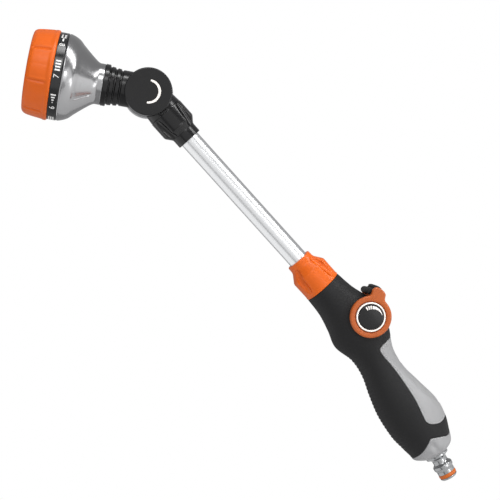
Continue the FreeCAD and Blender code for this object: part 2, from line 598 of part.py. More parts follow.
# Head side: front disc, ribbed neck and spigot, with a running bore for the trunnion.
elbow_disc = turned("elbow_disc", FRONT_PIVOT, [
    ("trunnion_rad + run_gap", "pivot_gap"), ("elbow_rad", "pivot_gap"),
    ("elbow_rad", "elbow_half - 3"), ("elbow_rad - 0.9", "elbow_half - 0.9"),
    ("elbow_rad - 3", "elbow_half"), ("cap_rad", "elbow_half"), ("cap_rad", "elbow_half - 2.4"),
    ("cap_rad - 0.4", "elbow_half - 2.4"), ("cap_rad - 0.4", "trunnion_end"),
    ("trunnion_rad + run_gap", "trunnion_end"), ("trunnion_rad + run_gap", "8.3"), ("10.8", "8.3"),
    ("10.8", "4.3"), ("trunnion_rad + run_gap", "4.3")])
neck_turning = turned("neck_turning", HEAD, [
    ("0", "neck_start"), ("neck_rad", "neck_start"), ("neck_rad", "22.4"), ("neck_rad - 1", "23"),
    ("neck_rad - 1", "24.2"), ("neck_rad + 0.5", "24.9"), ("neck_rad + 0.5", "27.4"),
    ("neck_rad - 0.6", "28.1"), ("neck_rad - 0.6", "29.3"), ("neck_rad + 1.1", "30.1"),
    ("neck_rad + 1.6", "32.9"), ("neck_flange", "33.6"), ("neck_flange", "neck_end"),
    ("11.5", "neck_end"), ("11.5", "neck_end + 8"), ("0", "neck_end + 8")])
disc_space = rod("disc_space", FRONT_PIVOT, "elbow_rad - 3", "-1", "elbow_half")
knuckle_space = rod("knuckle_space", BACK_PIVOT, "knuckle_rad + 0.4", "-pivot_gap", "30")
neck_trimmed = cut("neck_trimmed", neck_turning, disc_space, knuckle_space)
elbow_blank = fuse("elbow_blank", elbow_disc, neck_trimmed)
rise = aimed(along(HEAD, 9).multiply(Placement(Vector(0, -6.3, 0), Rotation())).Base,
             along(HEAD, 26).Base)
elbow_rise = rod("elbow_rise", rise, "3.2", "0", "20")
elbow_way = rod("elbow_way", HEAD, "6", "25", "50")
sub_part(cut("elbow", elbow_blank, elbow_rise, elbow_way), "head_elbow")

sub_part(turned("pivot_cap_turning", FRONT_PIVOT, [
    ("4.6", "elbow_half - 2.4"), ("cap_rad", "elbow_half - 2.4"), ("cap_rad", "elbow_half - 0.3"),
    ("cap_rad - 0.4", "elbow_half"), ("0", "elbow_half"), ("0", "elbow_half - 1.5"),
    ("4.6", "elbow_half - 1.5")]), "pivot_cap")

crescent = doc.addObject("PartDesign::Body", "crescent")
crescent_outline = sketch_on(crescent, "XZ_Plane", "crescent_outline", [
    ("crescent_rad - crescent_wide / 2", "elbow_half"), ("crescent_rad + crescent_wide / 2", "elbow_half"),
    ("crescent_rad + crescent_wide / 2", "elbow_half + 0.15"),
    ("crescent_rad - crescent_wide / 2", "elbow_half + 0.15")])
doc.recompute()
crescent_sweep = crescent.newObject("PartDesign::Revolution", "crescent_sweep")
crescent_sweep.Profile = crescent_outline
crescent_sweep.ReferenceAxis = (crescent_outline, ["V_Axis"])
crescent_sweep.Angle = 173
crescent.Placement = FRONT_PIVOT.multiply(Placement(Vector(), Rotation(Z_TURN, -139)))
sub_part(crescent, "tilt_mark")

# ---------------------------------------------------------------- head shell and water selector

shell_turning = turned("shell_turning", HEAD, [
    ("11.5", "neck_end"), ("17.1", "neck_end"), ("17.1", "neck_end + 5"), ("18.8", "neck_end + 8"),
    ("23.6", "neck_end + 14"), ("28.8", "neck_end + 20"), ("32.6", "neck_end + 24"),
    ("34.8", "neck_end + 28"), ("shell_rad", "neck_end + 32.4"), ("shell_rad", "shell_end"),
    ("31", "shell_end"), ("31", "66"), ("27", "66"), ("27", "64"), ("14", "52.5"), ("11.5", "48"),
    ("8.5", "48"), ("8.5", "neck_end + 8.1"), ("11.5", "neck_end + 8.1")])
sub_part(shell_turning, "head_shell")

plate_turning = turned("plate_turning", HEAD, [
    ("0", "66"), ("31", "66"), ("31", "70"), ("post_rad", "70"), ("post_rad", "78"), ("1.8", "78"),
    ("1.8", "70"), ("0", "70")])
PORT_CIRCLE = 20.0
DETENT_CIRCLE = 27.0
DETENT_FLOOR = 67.0
LABEL_ANGLE = 7.5            # where the first setting stands, about the head's axis
port_spot = around(HEAD, 2, PORT_CIRCLE, LABEL_ANGLE)[0]
detent_spot = around(HEAD, 2, DETENT_CIRCLE, LABEL_ANGLE)[1]
plate_port = rod("plate_port", port_spot, "5", "60", "75")
detent_pocket = rod("detent_pocket", detent_spot, "1.75", DETENT_FLOOR, "75")
sub_part(cut("plate", plate_turning, plate_port, detent_pocket), "port_plate")
sub_part(ring("port_seal_ring", port_spot, "5", "7", "70", "71.9"), "port_seal")

# The ball's top stands just under the hub's face; the hub's eight shallow dimples pass over it.
BALL_GAP = 0.05
SPRING_PITCH = 0.62
SPRING_RISE = 1.6
SPRING_WIRE = 0.24
SPRING_RAD = 1.2
spring_path = Part.makeHelix(SPRING_PITCH, SPRING_RISE, SPRING_RAD)
spring_section = Part.Wire([
    Part.makeCircle(SPRING_WIRE, Vector(SPRING_RAD, 0, 0), Vector(0, 1, 0))])
spring = doc.addObject("Part::Feature", "spring")
spring.Shape = Part.Wire(spring_path).makePipeShell([spring_section], True, True)
spring.Placement = along(detent_spot, DETENT_FLOOR + SPRING_WIRE + BALL_GAP)
sub_part(spring, "detent_spring")
ball = doc.addObject("Part::Sphere", "ball")
ball.setExpression("Radius", linked("ball_rad"))
ball.Placement = along(detent_spot, value("hub_foot - ball_rad") - BALL_GAP)
sub_part(ball, "detent_ball")

hub_turning = turned("hub_turning", HEAD, [
    ("post_rad + run_gap", "hub_foot"), ("hub_rad", "hub_foot"), ("hub_rad", "hub_end"),
    ("post_rad + run_gap", "hub_end")])
DIMPLE_DEPTH = 0.6
dimples = []
for number, spot in enumerate(around(HEAD, 8, DETENT_CIRCLE, LABEL_ANGLE)):
    dimple = doc.addObject("Part::Sphere", f"dimple_{number}")
    dimple.setExpression("Radius", linked("ball_rad + 0.1"))
    dimple.Placement = along(spot, value("hub_foot - ball_rad") + DIMPLE_DEPTH)
    dimples.append(dimple)
ways = [rod(f"way_{number}", spot, "2.6", "70", "80")
        for number, spot in enumerate(around(HEAD, 8, PORT_CIRCLE, LABEL_ANGLE))]
sub_part(cut("hub", hub_turning, fuse("dimples", *dimples), fuse("ways", *ways)), "dial_hub")

sub_part(ring("band_ring", HEAD, "hub_rad", "band_rad", "band_start", "dial_start"), "label_band")

sub_part(ring("dial_washer_ring", HEAD, "1.8", "9", "78.1", "79.3"), "dial_washer")
sub_part(turned("dial_screw_turning", HEAD, [
    ("0", "70.5"), ("1.8", "70.5"), ("1.8", "79.3"), ("4", "79.3"), ("4", "80.8"), ("2.6", "81.6"),
    ("0", "81.6")]), "dial_screw")

dial_turning = turned("dial_turning", HEAD, [
    ("dial_bore", "dial_start"), ("dial_rad - 0.8", "dial_start"), ("dial_rad", "dial_start + 0.9"),
    ("dial_rad", "dial_start + 3.5"), ("dial_rad - 1.1", "dial_start + 13"),
    ("dial_rad - 2", "dial_end - 2.8"), ("dial_rad - 3.2", "dial_end - 0.9"),
    ("dial_rad - 4.6", "dial_end"), ("dial_bore - 1", "dial_end"), ("dial_bore - 1", "dial_end - 1.8"),
    ("dial_bore", "dial_end - 1.8")])
NOTCH_ANGLE = LABEL_ANGLE + 22.5
notches = []
for number, spot in enumerate(around(HEAD, 8, value("dial_rad") + 0.6, NOTCH_ANGLE)):
    notches.append(block(f"notch_{number}", along(spot, 84), "3", "1.2", "13"))
sub_part(cut("dial", dial_turning, fuse("notches", *notches)), "dial_ring")

# Spray face with one pattern for each setting, and a wall between each two settings behind it.
face_disc = ring("face_disc", HEAD, "0", "dial_bore", "92", "dial_end - 1.8")
walls = []
for number in range(8):
    turn = Placement(Vector(), Rotation(Z_TURN, NOTCH_ANGLE + 45.0 * number))
    wall = block(f"wall_{number}", along(HEAD, 78.3).multiply(turn).multiply(axis_at(21, 0, 0)),
                 "21", "1.4", "14")
    walls.append(wall)
face_blank = fuse("face_blank", face_disc, *walls)
jets = []
PATTERN_RINGS = [(12.5, 1), (18.0, 2), (23.5, 3), (28.0, 4)]
for sector in range(8):
    for ring_number, (radius, jets_across) in enumerate(PATTERN_RINGS):
        for place in range(jets_across):
            spread = (place - (jets_across - 1) / 2) * 9.0
            angle = 45.0 * sector + LABEL_ANGLE + spread
            turn = Placement(Vector(), Rotation(Z_TURN, angle))
            spot = HEAD.multiply(turn).multiply(Placement(Vector(radius, 0, 0), Rotation()))
            jets.append(rod(f"jet_{sector}_{ring_number}_{place}", spot, "0.9", "90", "100"))
sub_part(cut("face", face_blank, fuse("jets", *jets)), "spray_face")

# ---------------------------------------------------------------- checks and export

doc.recompute()
for item in doc.Objects:
    if "Invalid" in item.State or "Error" in item.State:
        raise RuntimeError(f"{item.Name} ({item.Label}) failed: {item.State}")
for label, item in sub_parts.items():
    shape = item.Shape
    if shape.isNull() or not shape.isValid() or shape.Volume <= 0:
        raise RuntimeError(f"{label} has no valid solid")

os.makedirs("parts", exist_ok=True)
for label, item in sub_parts.items():
    item.Shape.exportStep(f"parts/{label}.step")
print(len(sub_parts), "sub-parts")
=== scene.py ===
import json
from math import acos, atan2, ceil, cos, exp, hypot, pi, radians, sin, sqrt, tau

import bmesh
import bpy
import numpy as np
from mathutils import Matrix, Vector


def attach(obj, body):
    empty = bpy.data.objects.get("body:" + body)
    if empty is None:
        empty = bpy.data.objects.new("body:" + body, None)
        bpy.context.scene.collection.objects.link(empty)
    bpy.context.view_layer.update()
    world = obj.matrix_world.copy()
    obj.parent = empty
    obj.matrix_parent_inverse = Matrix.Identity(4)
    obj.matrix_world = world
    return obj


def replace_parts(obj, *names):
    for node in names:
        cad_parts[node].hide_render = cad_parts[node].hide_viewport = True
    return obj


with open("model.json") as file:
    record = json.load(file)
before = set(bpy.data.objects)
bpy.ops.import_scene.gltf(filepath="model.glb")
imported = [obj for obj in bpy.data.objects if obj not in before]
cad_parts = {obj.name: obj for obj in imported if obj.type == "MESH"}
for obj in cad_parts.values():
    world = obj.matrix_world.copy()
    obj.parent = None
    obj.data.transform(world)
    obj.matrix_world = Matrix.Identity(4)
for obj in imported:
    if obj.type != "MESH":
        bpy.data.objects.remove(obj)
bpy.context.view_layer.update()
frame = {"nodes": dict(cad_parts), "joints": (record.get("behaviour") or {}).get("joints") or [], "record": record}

# A garden watering wand. Outlines are in millimetres, as (radius, height) or (across, up),
# about axes that come from the frame: the plug, the tube, the valve, the tilt pivot and the head.

MM = 0.001
X, Y, Z = Vector((1, 0, 0)), Vector((0, 1, 0)), Vector((0, 0, 1))
FRONT, BACK = -1, 1  # the camera's side, -Y, and the far side, +Y
HANDS = {FRONT: "left", BACK: "right"}


# ---- axes

def axes(origin, up):
    """Axes at a point, in metres: local Z along up, and local X in the plane of X and Z."""
    z_axis = up.normalized()
    y_axis = z_axis.cross(X).normalized()
    x_axis = y_axis.cross(z_axis)
    return Matrix.Translation(origin) @ Matrix((x_axis, y_axis, z_axis)).transposed().to_4x4()


joints = {joint["name"]: joint for joint in frame["joints"]}
PIVOT_AT = Vector(joints["head_tilt"]["pos_m"])
VALVE_AT = Vector(joints["flow_lever"]["pos_m"])
PLUG = axes(Vector(), -Vector(frame["record"]["mounts"][0]["axis"]))
TUBE = axes(Vector((PIVOT_AT.x, 0, 0)), Z)
HEAD = axes(PIVOT_AT, Vector(joints["spray_select"]["axis"]))
PIVOT_Z = PIVOT_AT.z / MM


def valve_side(side):
    return axes(VALVE_AT, side * Y)


def pivot_side(side):
    return axes(PIVOT_AT, side * Y)


# ---- outlines and meshes

CORNER_STEPS = 5


def rounded(outline, fillet, closed):
    """The outline with each corner turned into a short curve; a third number is that corner's own fillet."""
    points = []
    last = len(outline) - 1
    for index, corner in enumerate(outline):
        here = Vector(corner[:2])
        reach = corner[2] if len(corner) > 2 else fillet
        if reach == 0 or (not closed and index in (0, last)):
            points.append(here)
            continue
        before = Vector(outline[index - 1][:2]) - here
        after = Vector(outline[(index + 1) % len(outline)][:2]) - here
        start = here + before.normalized() * min(reach, before.length * 0.45)
        end = here + after.normalized() * min(reach, after.length * 0.45)
        for step in range(CORNER_STEPS + 1):
            part = step / CORNER_STEPS
            points.append(start.lerp(here, part).lerp(here.lerp(end, part), part))
    return points


def neighbours(items, index, closed=False):
    """The four items round the gap after an index; an open row repeats its end ones."""
    last = len(items) - 1
    places = range(index - 1, index + 3)
    return [items[place % len(items) if closed else min(max(place, 0), last)] for place in places]


def smooth(points, steps, closed=False):
    """A smooth line through the points, with so many steps between each two."""
    corners = [Vector(point) for point in points]
    line = []
    for index in range(len(corners) if closed else len(corners) - 1):
        near = neighbours(corners, index, closed)
        line += [catmull(*near, step / steps) for step in range(steps)]
    return line if closed else line + [corners[-1]]


def catmull(a, b, c, d, part):
    """A Catmull-Rom curve's value between b and c."""
    return b + (c - a) * (part / 2) + (a * 2 - b * 5 + c * 4 - d) * (part ** 2 / 2) \
        + (b * 3 - a - c * 3 + d) * (part ** 3 / 2)


def ramp(low, high, value):
    """0 below low, 1 above high, and a smooth rise between."""
    part = min(max((value - low) / (high - low), 0.0), 1.0)
    return part * part * (3 - 2 * part)


def dent(offset, width):
    """A bell curve: 1 at no offset, fading over about the width."""
    return exp(-(offset / width) ** 2)


def angle_gap(first, second):
    """The smallest turn between two angles."""
    return abs((first - second + pi) % tau - pi)


def spaced(points, spacing, closed):
    """The same line with more points, so that none are further apart than the spacing."""
    line = []
    pairs = list(zip(points, points[1:] + points[:1]))
    for start, end in pairs if closed else pairs[:-1]:
        steps = max(1, ceil((end - start).length / spacing))
        line += [start.lerp(end, step / steps) for step in range(steps)]
    return line if closed else line + [points[-1]]


def circle(sides):
    """Evenly spaced angles once round."""
    return [tau * side / sides for side in range(sides)]


def polar(spot, angle, radius, height):
    """A point about the spot's axis, in metres."""
    return spot @ (Vector((radius * cos(angle), radius * sin(angle), height)) * MM)


def lifted(spot, outline, height):
    """An outline across the spot's axis, raised to a height, in metres."""
    return [spot @ (Vector((point.x, point.y, height)) * MM) for point in outline]


def skin(rings, closed=False, caps=False):
    """A bmesh over rings of points in metres; each ring goes once round."""
    bm = bmesh.new()
    grid = [[bm.verts.new(point) for point in ring] for ring in rings]
    around = len(grid[0])
    pairs = list(zip(grid, grid[1:] + grid[:1]))
    for low, high in pairs if closed else pairs[:-1]:
        for side in range(around):
            after = (side + 1) % around
            bm.faces.new((low[side], low[after], high[after], high[side]))
    if caps:
        bm.faces.new(grid[0])
        bm.faces.new(grid[-1])
    bmesh.ops.remove_doubles(bm, verts=bm.verts, dist=1e-7)
    bmesh.ops.recalc_face_normals(bm, faces=bm.faces)
    return bm


def unchanged(radius, height, _):
    return radius, height


def turned(outline, spot, fillet=0.3, sides=144, spacing=None, form=unchanged):
    """A piece turned about the spot's axis; the form may change each point's radius and height.

    The outline is a closed one, unless it starts on the axis.
    """
    closed = outline[0][0] > 0
    points = rounded(outline, fillet, closed)
    if spacing:
        points = spaced(points, spacing, closed)
    return skin([[polar(spot, angle, *form(radius, height, angle)) for angle in circle(sides)]
                 for radius, height in points], closed)


def inset(outline, distance):
    """A closed outline drawn in by a distance along its own normals."""
    count = len(outline)
    moved = []
    for index, point in enumerate(outline):
        run = (outline[(index + 1) % count] - outline[index - 1]).normalized()
        moved.append(point + Vector((-run.y, run.x)) * distance)
    return moved


def anticlockwise(outline):
    area = sum(a.cross(b) for a, b in zip(outline, outline[1:] + outline[:1]))
    return outline if area > 0 else outline[::-1]


def edge_rows(low, high, radius, crown=0.0):
    """(inset, height) rows of a plate's side, rounded at both ends, with a slight crown between."""
    round_steps, crown_steps = 6, 12
    turns = [pi / 2 * step / round_steps for step in range(round_steps + 1)]
    foot = [(radius * (1 - sin(turn)) + crown, low + radius * (1 - cos(turn))) for turn in turns]
    rise = high - low - 2 * radius
    middle = [(crown * (2 * step / crown_steps - 1) ** 4, low + radius + rise * step / crown_steps)
              for step in range(1, crown_steps)]
    return foot + middle + [(inward, low + high - height) for inward, height in foot[::-1]]


def plate(outline, rows, spot):
    """A closed plate: the outline drawn in and raised row by row, with both ends filled."""
    outline = anticlockwise(outline)
    return skin([lifted(spot, inset(outline, inward), height) for inward, height in rows], caps=True)


def mesh_of(name, bm):
    """A mesh made of a bmesh, which is used up."""
    mesh = bpy.data.meshes.new(name)
    bm.to_mesh(mesh)
    bm.free()
    return mesh


def placed(name, data):
    """A new object in the scene."""
    item = bpy.data.objects.new(name, data)
    bpy.context.scene.collection.objects.link(item)
    return item


def joined(*parts):
    """One bmesh that holds several."""
    whole = bmesh.new()
    for part in parts:
        mesh = mesh_of("part", part)
        whole.from_mesh(mesh)
        bpy.data.meshes.remove(mesh)
    return whole


SHARP_EDGE = radians(38)


def piece(name, bm, body, slot, weighted=True, own_finish=None):
    """Makes an object of a bmesh that rides on a body, with its slot's material or a finish of its own."""
    mesh = mesh_of(name, bm)
    mesh.shade_smooth()
    mesh.set_sharp_from_angle(angle=SHARP_EDGE)
    mesh.materials.append(MATERIALS[own_finish or slot])
    item = placed(name, mesh)
    if weighted:
        normals = item.modifiers.new("flat_faces", "WEIGHTED_NORMAL")
        normals.weight = 90
        normals.keep_sharp = True
    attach(item, body)
    return item


def stand_in(node, way, bm, body, slot, **looks):
    """A piece that is drawn instead of one of the frame's nodes, and is named after it."""
    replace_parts(piece(f"{node}_{way}", bm, body, slot, **looks), node)


# ---- materials

def linear(red, green, blue):
    """A colour given in 0 to 255 display values, as Blender's linear one."""
    def channel(value):
        value /= 255
        return value / 12.92 if value <= 0.04045 else ((value + 0.055) / 1.055) ** 2.4
    return channel(red), channel(green), channel(blue), 1.0


def shaded(colour, factor):
    return [min(channel * factor, 1.0) for channel in colour[:3]] + [1.0]


class Surface:
    """A Principled material whose colour, roughness and relief come from noise in the object's own space."""

    def __init__(self, name, colour, roughness, **settings):
        self.material = bpy.data.materials.new(name)
        self.material.use_nodes = True
        self.tree = self.material.node_tree
        self.shader = self.tree.nodes["Principled BSDF"]
        self.space = self.node("ShaderNodeTexCoord").outputs["Object"]
        self.colour = colour
        self.roughness = roughness
        for socket, value in settings.items():
            self.shader.inputs[socket.replace("_", " ")].default_value = value

    def node(self, kind, **values):
        made = self.tree.nodes.new(kind)
        for socket, value in values.items():
            made.inputs[socket].default_value = value
        return made

    def link(self, output, target):
        self.tree.links.new(output, target)

    def noise(self, size_mm, detail=3.0, stretch=(1, 1, 1)):
        """Noise whose features are about so many millimetres across."""
        mapping = self.node("ShaderNodeMapping")
        mapping.inputs["Scale"].default_value = stretch
        self.link(self.space, mapping.inputs["Vector"])
        made = self.node("ShaderNodeTexNoise", Scale=1 / (size_mm * MM), Detail=detail)
        self.link(mapping.outputs["Vector"], made.inputs["Vector"])
        return made.outputs["Fac"]

    def vary_colour(self, size_mm, amount, stretch=(1, 1, 1)):
        """Mixes a slightly darker and a slightly lighter shade of the colour."""
        blend = self.node("ShaderNodeMix")
        blend.data_type = "RGBA"
        dark, light = [socket for socket in blend.inputs if socket.type == "RGBA"]
        dark.default_value = shaded(self.colour, 1 - amount)
        light.default_value = shaded(self.colour, 1 + amount)
        self.link(self.noise(size_mm, stretch=stretch), blend.inputs["Factor"])
        result = [socket for socket in blend.outputs if socket.type == "RGBA"][0]
        self.link(result, self.shader.inputs["Base Color"])

    def vary_roughness(self, size_mm, amount, stretch=(1, 1, 1)):
        """Spreads the middle of the noise over the roughness, a little below and above it."""
        spread = self.node("ShaderNodeMapRange", **{
            "From Min": 0.3, "From Max": 0.7,
            "To Min": max(self.roughness - amount, 0.02), "To Max": self.roughness + amount})
        self.link(self.noise(size_mm, stretch=stretch), spread.inputs["Value"])
        self.link(spread.outputs["Result"], self.shader.inputs["Roughness"])

    def relief(self, *layers):
        """Adds bumps, each (size in mm, height in mm, stretch)."""
        below = None
        for size_mm, height_mm, stretch in layers:
            bump = self.node("ShaderNodeBump", Strength=1.0, Distance=height_mm * MM)
            self.link(self.noise(size_mm, 2.0, stretch), bump.inputs["Height"])
            if below:
                self.link(below, bump.inputs["Normal"])
            below = bump.outputs["Normal"]
        self.link(below, self.shader.inputs["Normal"])


EVEN = (1, 1, 1)
LENGTHWISE = (1, 1, 0.01)


def moulded(name, colour, roughness, grain_mm=0.5, depth_mm=0.0015, **settings):
    """Moulded plastic: a fine eroded grain over a faint flow pattern."""
    surface = Surface(name, colour, roughness, **settings)
    surface.vary_colour(9, 0.05)
    surface.vary_roughness(2.5, 0.04)
    surface.relief((14, 0.01, EVEN), (grain_mm, depth_mm, EVEN))
    return surface.material


def rubber(name, colour, roughness):
    """Soft overmould: a matt, slightly pebbled skin."""
    surface = Surface(name, colour, roughness, Specular_IOR_Level=0.28)
    surface.vary_colour(4, 0.12)
    surface.vary_roughness(1.2, 0.06)
    surface.relief((0.9, 0.012, EVEN), (0.3, 0.008, EVEN))
    return surface.material


def silvered(name, colour, roughness, metallic, coat, coat_roughness):
    """Silver lacquer on plastic: fine flake under a clear coat."""
    surface = Surface(name, colour, roughness, Metallic=metallic, Coat_Weight=coat,
                      Coat_Roughness=coat_roughness)
    surface.vary_colour(0.35, 0.05)
    surface.vary_roughness(0.6, 0.05)
    surface.relief((18, 0.03, EVEN), (0.25, 0.002, EVEN))
    return surface.material


def drawn_metal(name, colour, roughness, stretch=LENGTHWISE):
    """Polished metal with faint draw lines along it."""
    surface = Surface(name, colour, roughness, Metallic=1.0)
    surface.vary_colour(1.5, 0.03, stretch)
    surface.vary_roughness(0.8, 0.03, stretch)
    surface.relief((0.35, 0.0003, stretch))
    return surface.material


MATERIALS = {}


def finish(name, kind, display_colour, roughness, **settings):
    MATERIALS[name] = kind(name, linear(*display_colour), roughness, **settings)


finish("orange_plastic", moulded, (212, 93, 15), 0.36, Specular_IOR_Level=0.28)
finish("black_rubber", rubber, (23, 23, 24), 0.6)
finish("black_plastic", moulded, (13, 13, 14), 0.22, grain_mm=0.4, depth_mm=0.0008, Specular_IOR_Level=0.41)
finish("silver_plastic", silvered, (167, 167, 168), 0.2, metallic=1.0, coat=0.3, coat_roughness=0.05)
finish("grey_plastic", silvered, (151, 151, 152), 0.52, metallic=0.25, coat=0.0, coat_roughness=0.2)
finish("white_plastic", moulded, (246, 241, 234), 0.35)
finish("natural_plastic", moulded, (222, 218, 206), 0.45)
finish("tube_aluminium", drawn_metal, (228, 229, 230), 0.31)
finish("plug_chrome", drawn_metal, (158, 159, 160), 0.17)
finish("screw_steel", drawn_metal, (190, 190, 192), 0.28, stretch=EVEN)
finish("brass_spring", drawn_metal, (176, 174, 168), 0.25, stretch=EVEN)
finish("orange_rubber", rubber, (190, 96, 32), 0.36)
finish("black_seal", rubber, (32, 32, 33), 0.55)
finish("band_gloss", moulded, (26, 27, 28), 0.16, grain_mm=1.5, depth_mm=0.002)
finish("lever_gloss", moulded, (174, 84, 29), 0.32, Specular_IOR_Level=0.4)
finish("mark_grey", moulded, (232, 232, 230), 0.4)


def finish_frame_nodes():
    """Every node of the frame takes its own slot's material."""
    for row in frame["record"]["subparts"]:
        mesh = frame["nodes"][row["node"]].data
        mesh.materials.clear()
        mesh.materials.append(MATERIALS[row["material_slot"]])


# ---- handle

# Oval sections from the end bell up to the lower nut:
# centre x, centre z, half width along x, half width along y, tilt about y in degrees.
HANDLE_SECTIONS = [
    (1.9, 11.65, 10.9, 10.5, 12.0), (2.45, 16.05, 17.84, 15.5, 12.8), (4.95, 23.4, 20.47, 16.8, 7.3),
    (7.4, 34.0, 23.63, 17.8, 4.9), (8.95, 48.0, 25.4, 18.2, 1.0), (9.95, 69.0, 23.1, 17.6, 0),
    (12.5, 87.0, 19.55, 16.8, 0), (17.55, 104.0, 17.8, 16.4, 0), (23.45, 120.0, 21.4, 16.9, 0),
    (25.4, 137.5, 26.15, 17.55, 0), (26.25, 152.0, 22.3, 17.5, 0), (26.15, 167.0, 18.3, 16.9, 0),
    (25.8, 183.0, 16.65, 16.65, 0)]
BELL_SEAM = [(-40, 22), (-15, 23), (-6, 23.8), (2, 26.3), (6.55, 28.1), (11, 25.4), (16, 21.8),
             (22, 18.2), (40, 16)]
INSERT_EDGE = [(60, 111), (44, 112.2), (35, 113.6), (27.5, 114.1), (24.6, 112), (23.7, 105),
               (23.85, 96.8), (22.5, 82), (19.2, 62.3), (15, 48.3), (13.3, 42), (15.3, 37), (21.3, 32.3),
               (27.6, 31.2), (36, 32.5), (60, 34)]
HANDLE_TOP = HANDLE_SECTIONS[-1][1]
FOOT_SCALES = (0.74, 0.8, 0.86, 0.92, 0.97)
HANDLE_SIDES = 160
HANDLE_STEP = 0.42  # height of one row of faces
SEAM_GAP = 0.09  # each skin stands this far back from a seam
SEAM_ROUND = 0.75  # radius of the skins' rounded edges
SEAM_ROWS = (0.0, 0.1, 0.28, 0.6)
LIP_DEPTH = 1.7
RIB_PITCH = 3.2
RIB_DEPTH = 0.42
RIB_LOW, RIB_HIGH, RIB_FADE = 30, 128, 8


def handle_section(place):
    """The oval at a place between two of the sections, on a smooth curve through them all."""
    index = min(int(place), len(HANDLE_SECTIONS) - 2)
    near = [np.array(section) for section in neighbours(HANDLE_SECTIONS, index)]
    return catmull(*near, place - index)


def handle_ring(section, scale=1.0):
    centre_x, centre_z, wide, deep, tilt = section
    tilt = radians(tilt)
    ring = []
    for angle in circle(HANDLE_SIDES):
        across = scale * wide * cos(angle)
        ring.append(Vector((centre_x + across * cos(tilt), scale * deep * sin(angle),
                            centre_z - across * sin(tilt))) * MM)
    return ring


def handle_rings():
    """Rings up the whole handle, closed in at the foot to the plug's shank."""
    rings = [handle_ring(HANDLE_SECTIONS[0], scale) for scale in FOOT_SCALES]
    for index in range(len(HANDLE_SECTIONS) - 1):
        rise = HANDLE_SECTIONS[index + 1][1] - HANDLE_SECTIONS[index][1]
        steps = ceil(rise / HANDLE_STEP)
        rings += [handle_ring(handle_section(index + step / steps)) for step in range(steps)]
    rings.append(handle_ring(HANDLE_SECTIONS[-1]))
    return rings


def line_distance(line, points):
    """Signed distance of each (x, z) point from a line, positive to its left. Arrays in millimetres."""
    start = line[:-1]
    run = np.diff(line, axis=0)
    distances = []
    for chunk in np.array_split(points, max(1, len(points) // 2000)):
        offset = chunk[:, None, :] - start[None]
        part = np.clip((offset * run).sum(2) / (run ** 2).sum(1), 0, 1)
        gap = np.linalg.norm(offset - part[:, :, None] * run, axis=2)
        nearest = gap.argmin(1)
        rows = np.arange(len(chunk))
        side = np.cross(run[nearest], offset[rows, nearest])
        distances.append(np.where(side >= 0, gap[rows, nearest], -gap[rows, nearest]))
    return np.concatenate(distances)


def mark_distances(bm, name, line):
    """Stores each corner's distance from a seam in a layer of its own."""
    layer = bm.verts.layers.float.new(name)
    points = np.array([(vert.co.x, vert.co.z) for vert in bm.verts]) / MM
    for vert, distance in zip(bm.verts, line_distance(np.array(line), points)):
        vert[layer] = distance


def cut_row(bm, layer, level):
    """Splits the faces that a level line of the layer crosses, so that a row of corners lies on it."""
    near = 0.03
    layers = list(bm.verts.layers.float.values())
    on_line = {vert for vert in bm.verts if abs(vert[layer] - level) < near}
    for edge in list(bm.edges):
        first, second = edge.verts
        start, end = first[layer] - level, second[layer] - level
        if first in on_line or second in on_line or start * end >= 0:
            continue
        part = start / (start - end)
        place = first.co.lerp(second.co, part)
        values = [first[item] + (second[item] - first[item]) * part for item in layers]
        added = bmesh.utils.edge_split(edge, first, part)[1]
        added.co = place
        for item, value in zip(layers, values):
            added[item] = value
        on_line.add(added)
    for face in list(bm.faces):
        ends = [vert for vert in face.verts if vert in on_line]
        if len(ends) == 2 and not bm.edges.get(ends):
            bmesh.utils.face_split(face, *ends)


def handle_blank():
    """The whole handle as one skin, with rows of corners along every seam."""
    bm = skin(handle_rings())
    seams = {"bell": BELL_SEAM, "insert": INSERT_EDGE}
    for name, line in seams.items():
        mark_distances(bm, name, smooth(line, 12))
    for name in seams:
        layer = bm.verts.layers.float[name]
        for row in SEAM_ROWS:
            cut_row(bm, layer, SEAM_GAP + row)
            cut_row(bm, layer, -SEAM_GAP - row)
    return bm


def edge_drop(distance):
    """How far a skin is rounded down at a distance from its edge."""
    if distance >= SEAM_ROUND:
        return 0.0
    return SEAM_ROUND - sqrt(SEAM_ROUND ** 2 - (SEAM_ROUND - max(distance, 0.0)) ** 2)


def handle_skin(blank, edge_distance, relief):
    """One skin cut from the blank: the faces inside its edges, rounded down at them, with a lip below.

    edge_distance takes the distances from the bell's and the insert's seams, and the height.
    """
    bm = blank.copy()
    bell = bm.verts.layers.float["bell"]
    insert = bm.verts.layers.float["insert"]
    dropped = []
    for face in bm.faces:
        count = len(face.verts)
        from_bell = sum(vert[bell] for vert in face.verts) / count
        from_insert = sum(vert[insert] for vert in face.verts) / count
        height = sum(vert.co.z for vert in face.verts) / count / MM
        if edge_distance(from_bell, from_insert, height) <= 0:
            dropped.append(face)
    bmesh.ops.delete(bm, geom=dropped, context="FACES")
    bm.normal_update()
    inward = {vert: -vert.normal for vert in bm.verts}
    for vert in bm.verts:
        depth = edge_drop(edge_distance(vert[bell], vert[insert], vert.co.z / MM))
        depth += relief(vert.co / MM, -inward[vert], vert[insert])
        vert.co += inward[vert] * depth * MM
    rims = [tuple(edge.verts) for edge in bm.edges if edge.is_boundary]
    below = {}
    for vert in [vert for rim in rims for vert in rim]:
        if vert not in below:
            below[vert] = bm.verts.new(vert.co + inward[vert] * LIP_DEPTH * MM)
    for first, second in rims:
        bm.faces.new((first, second, below[second], below[first]))
    bmesh.ops.recalc_face_normals(bm, faces=bm.faces)
    return bm


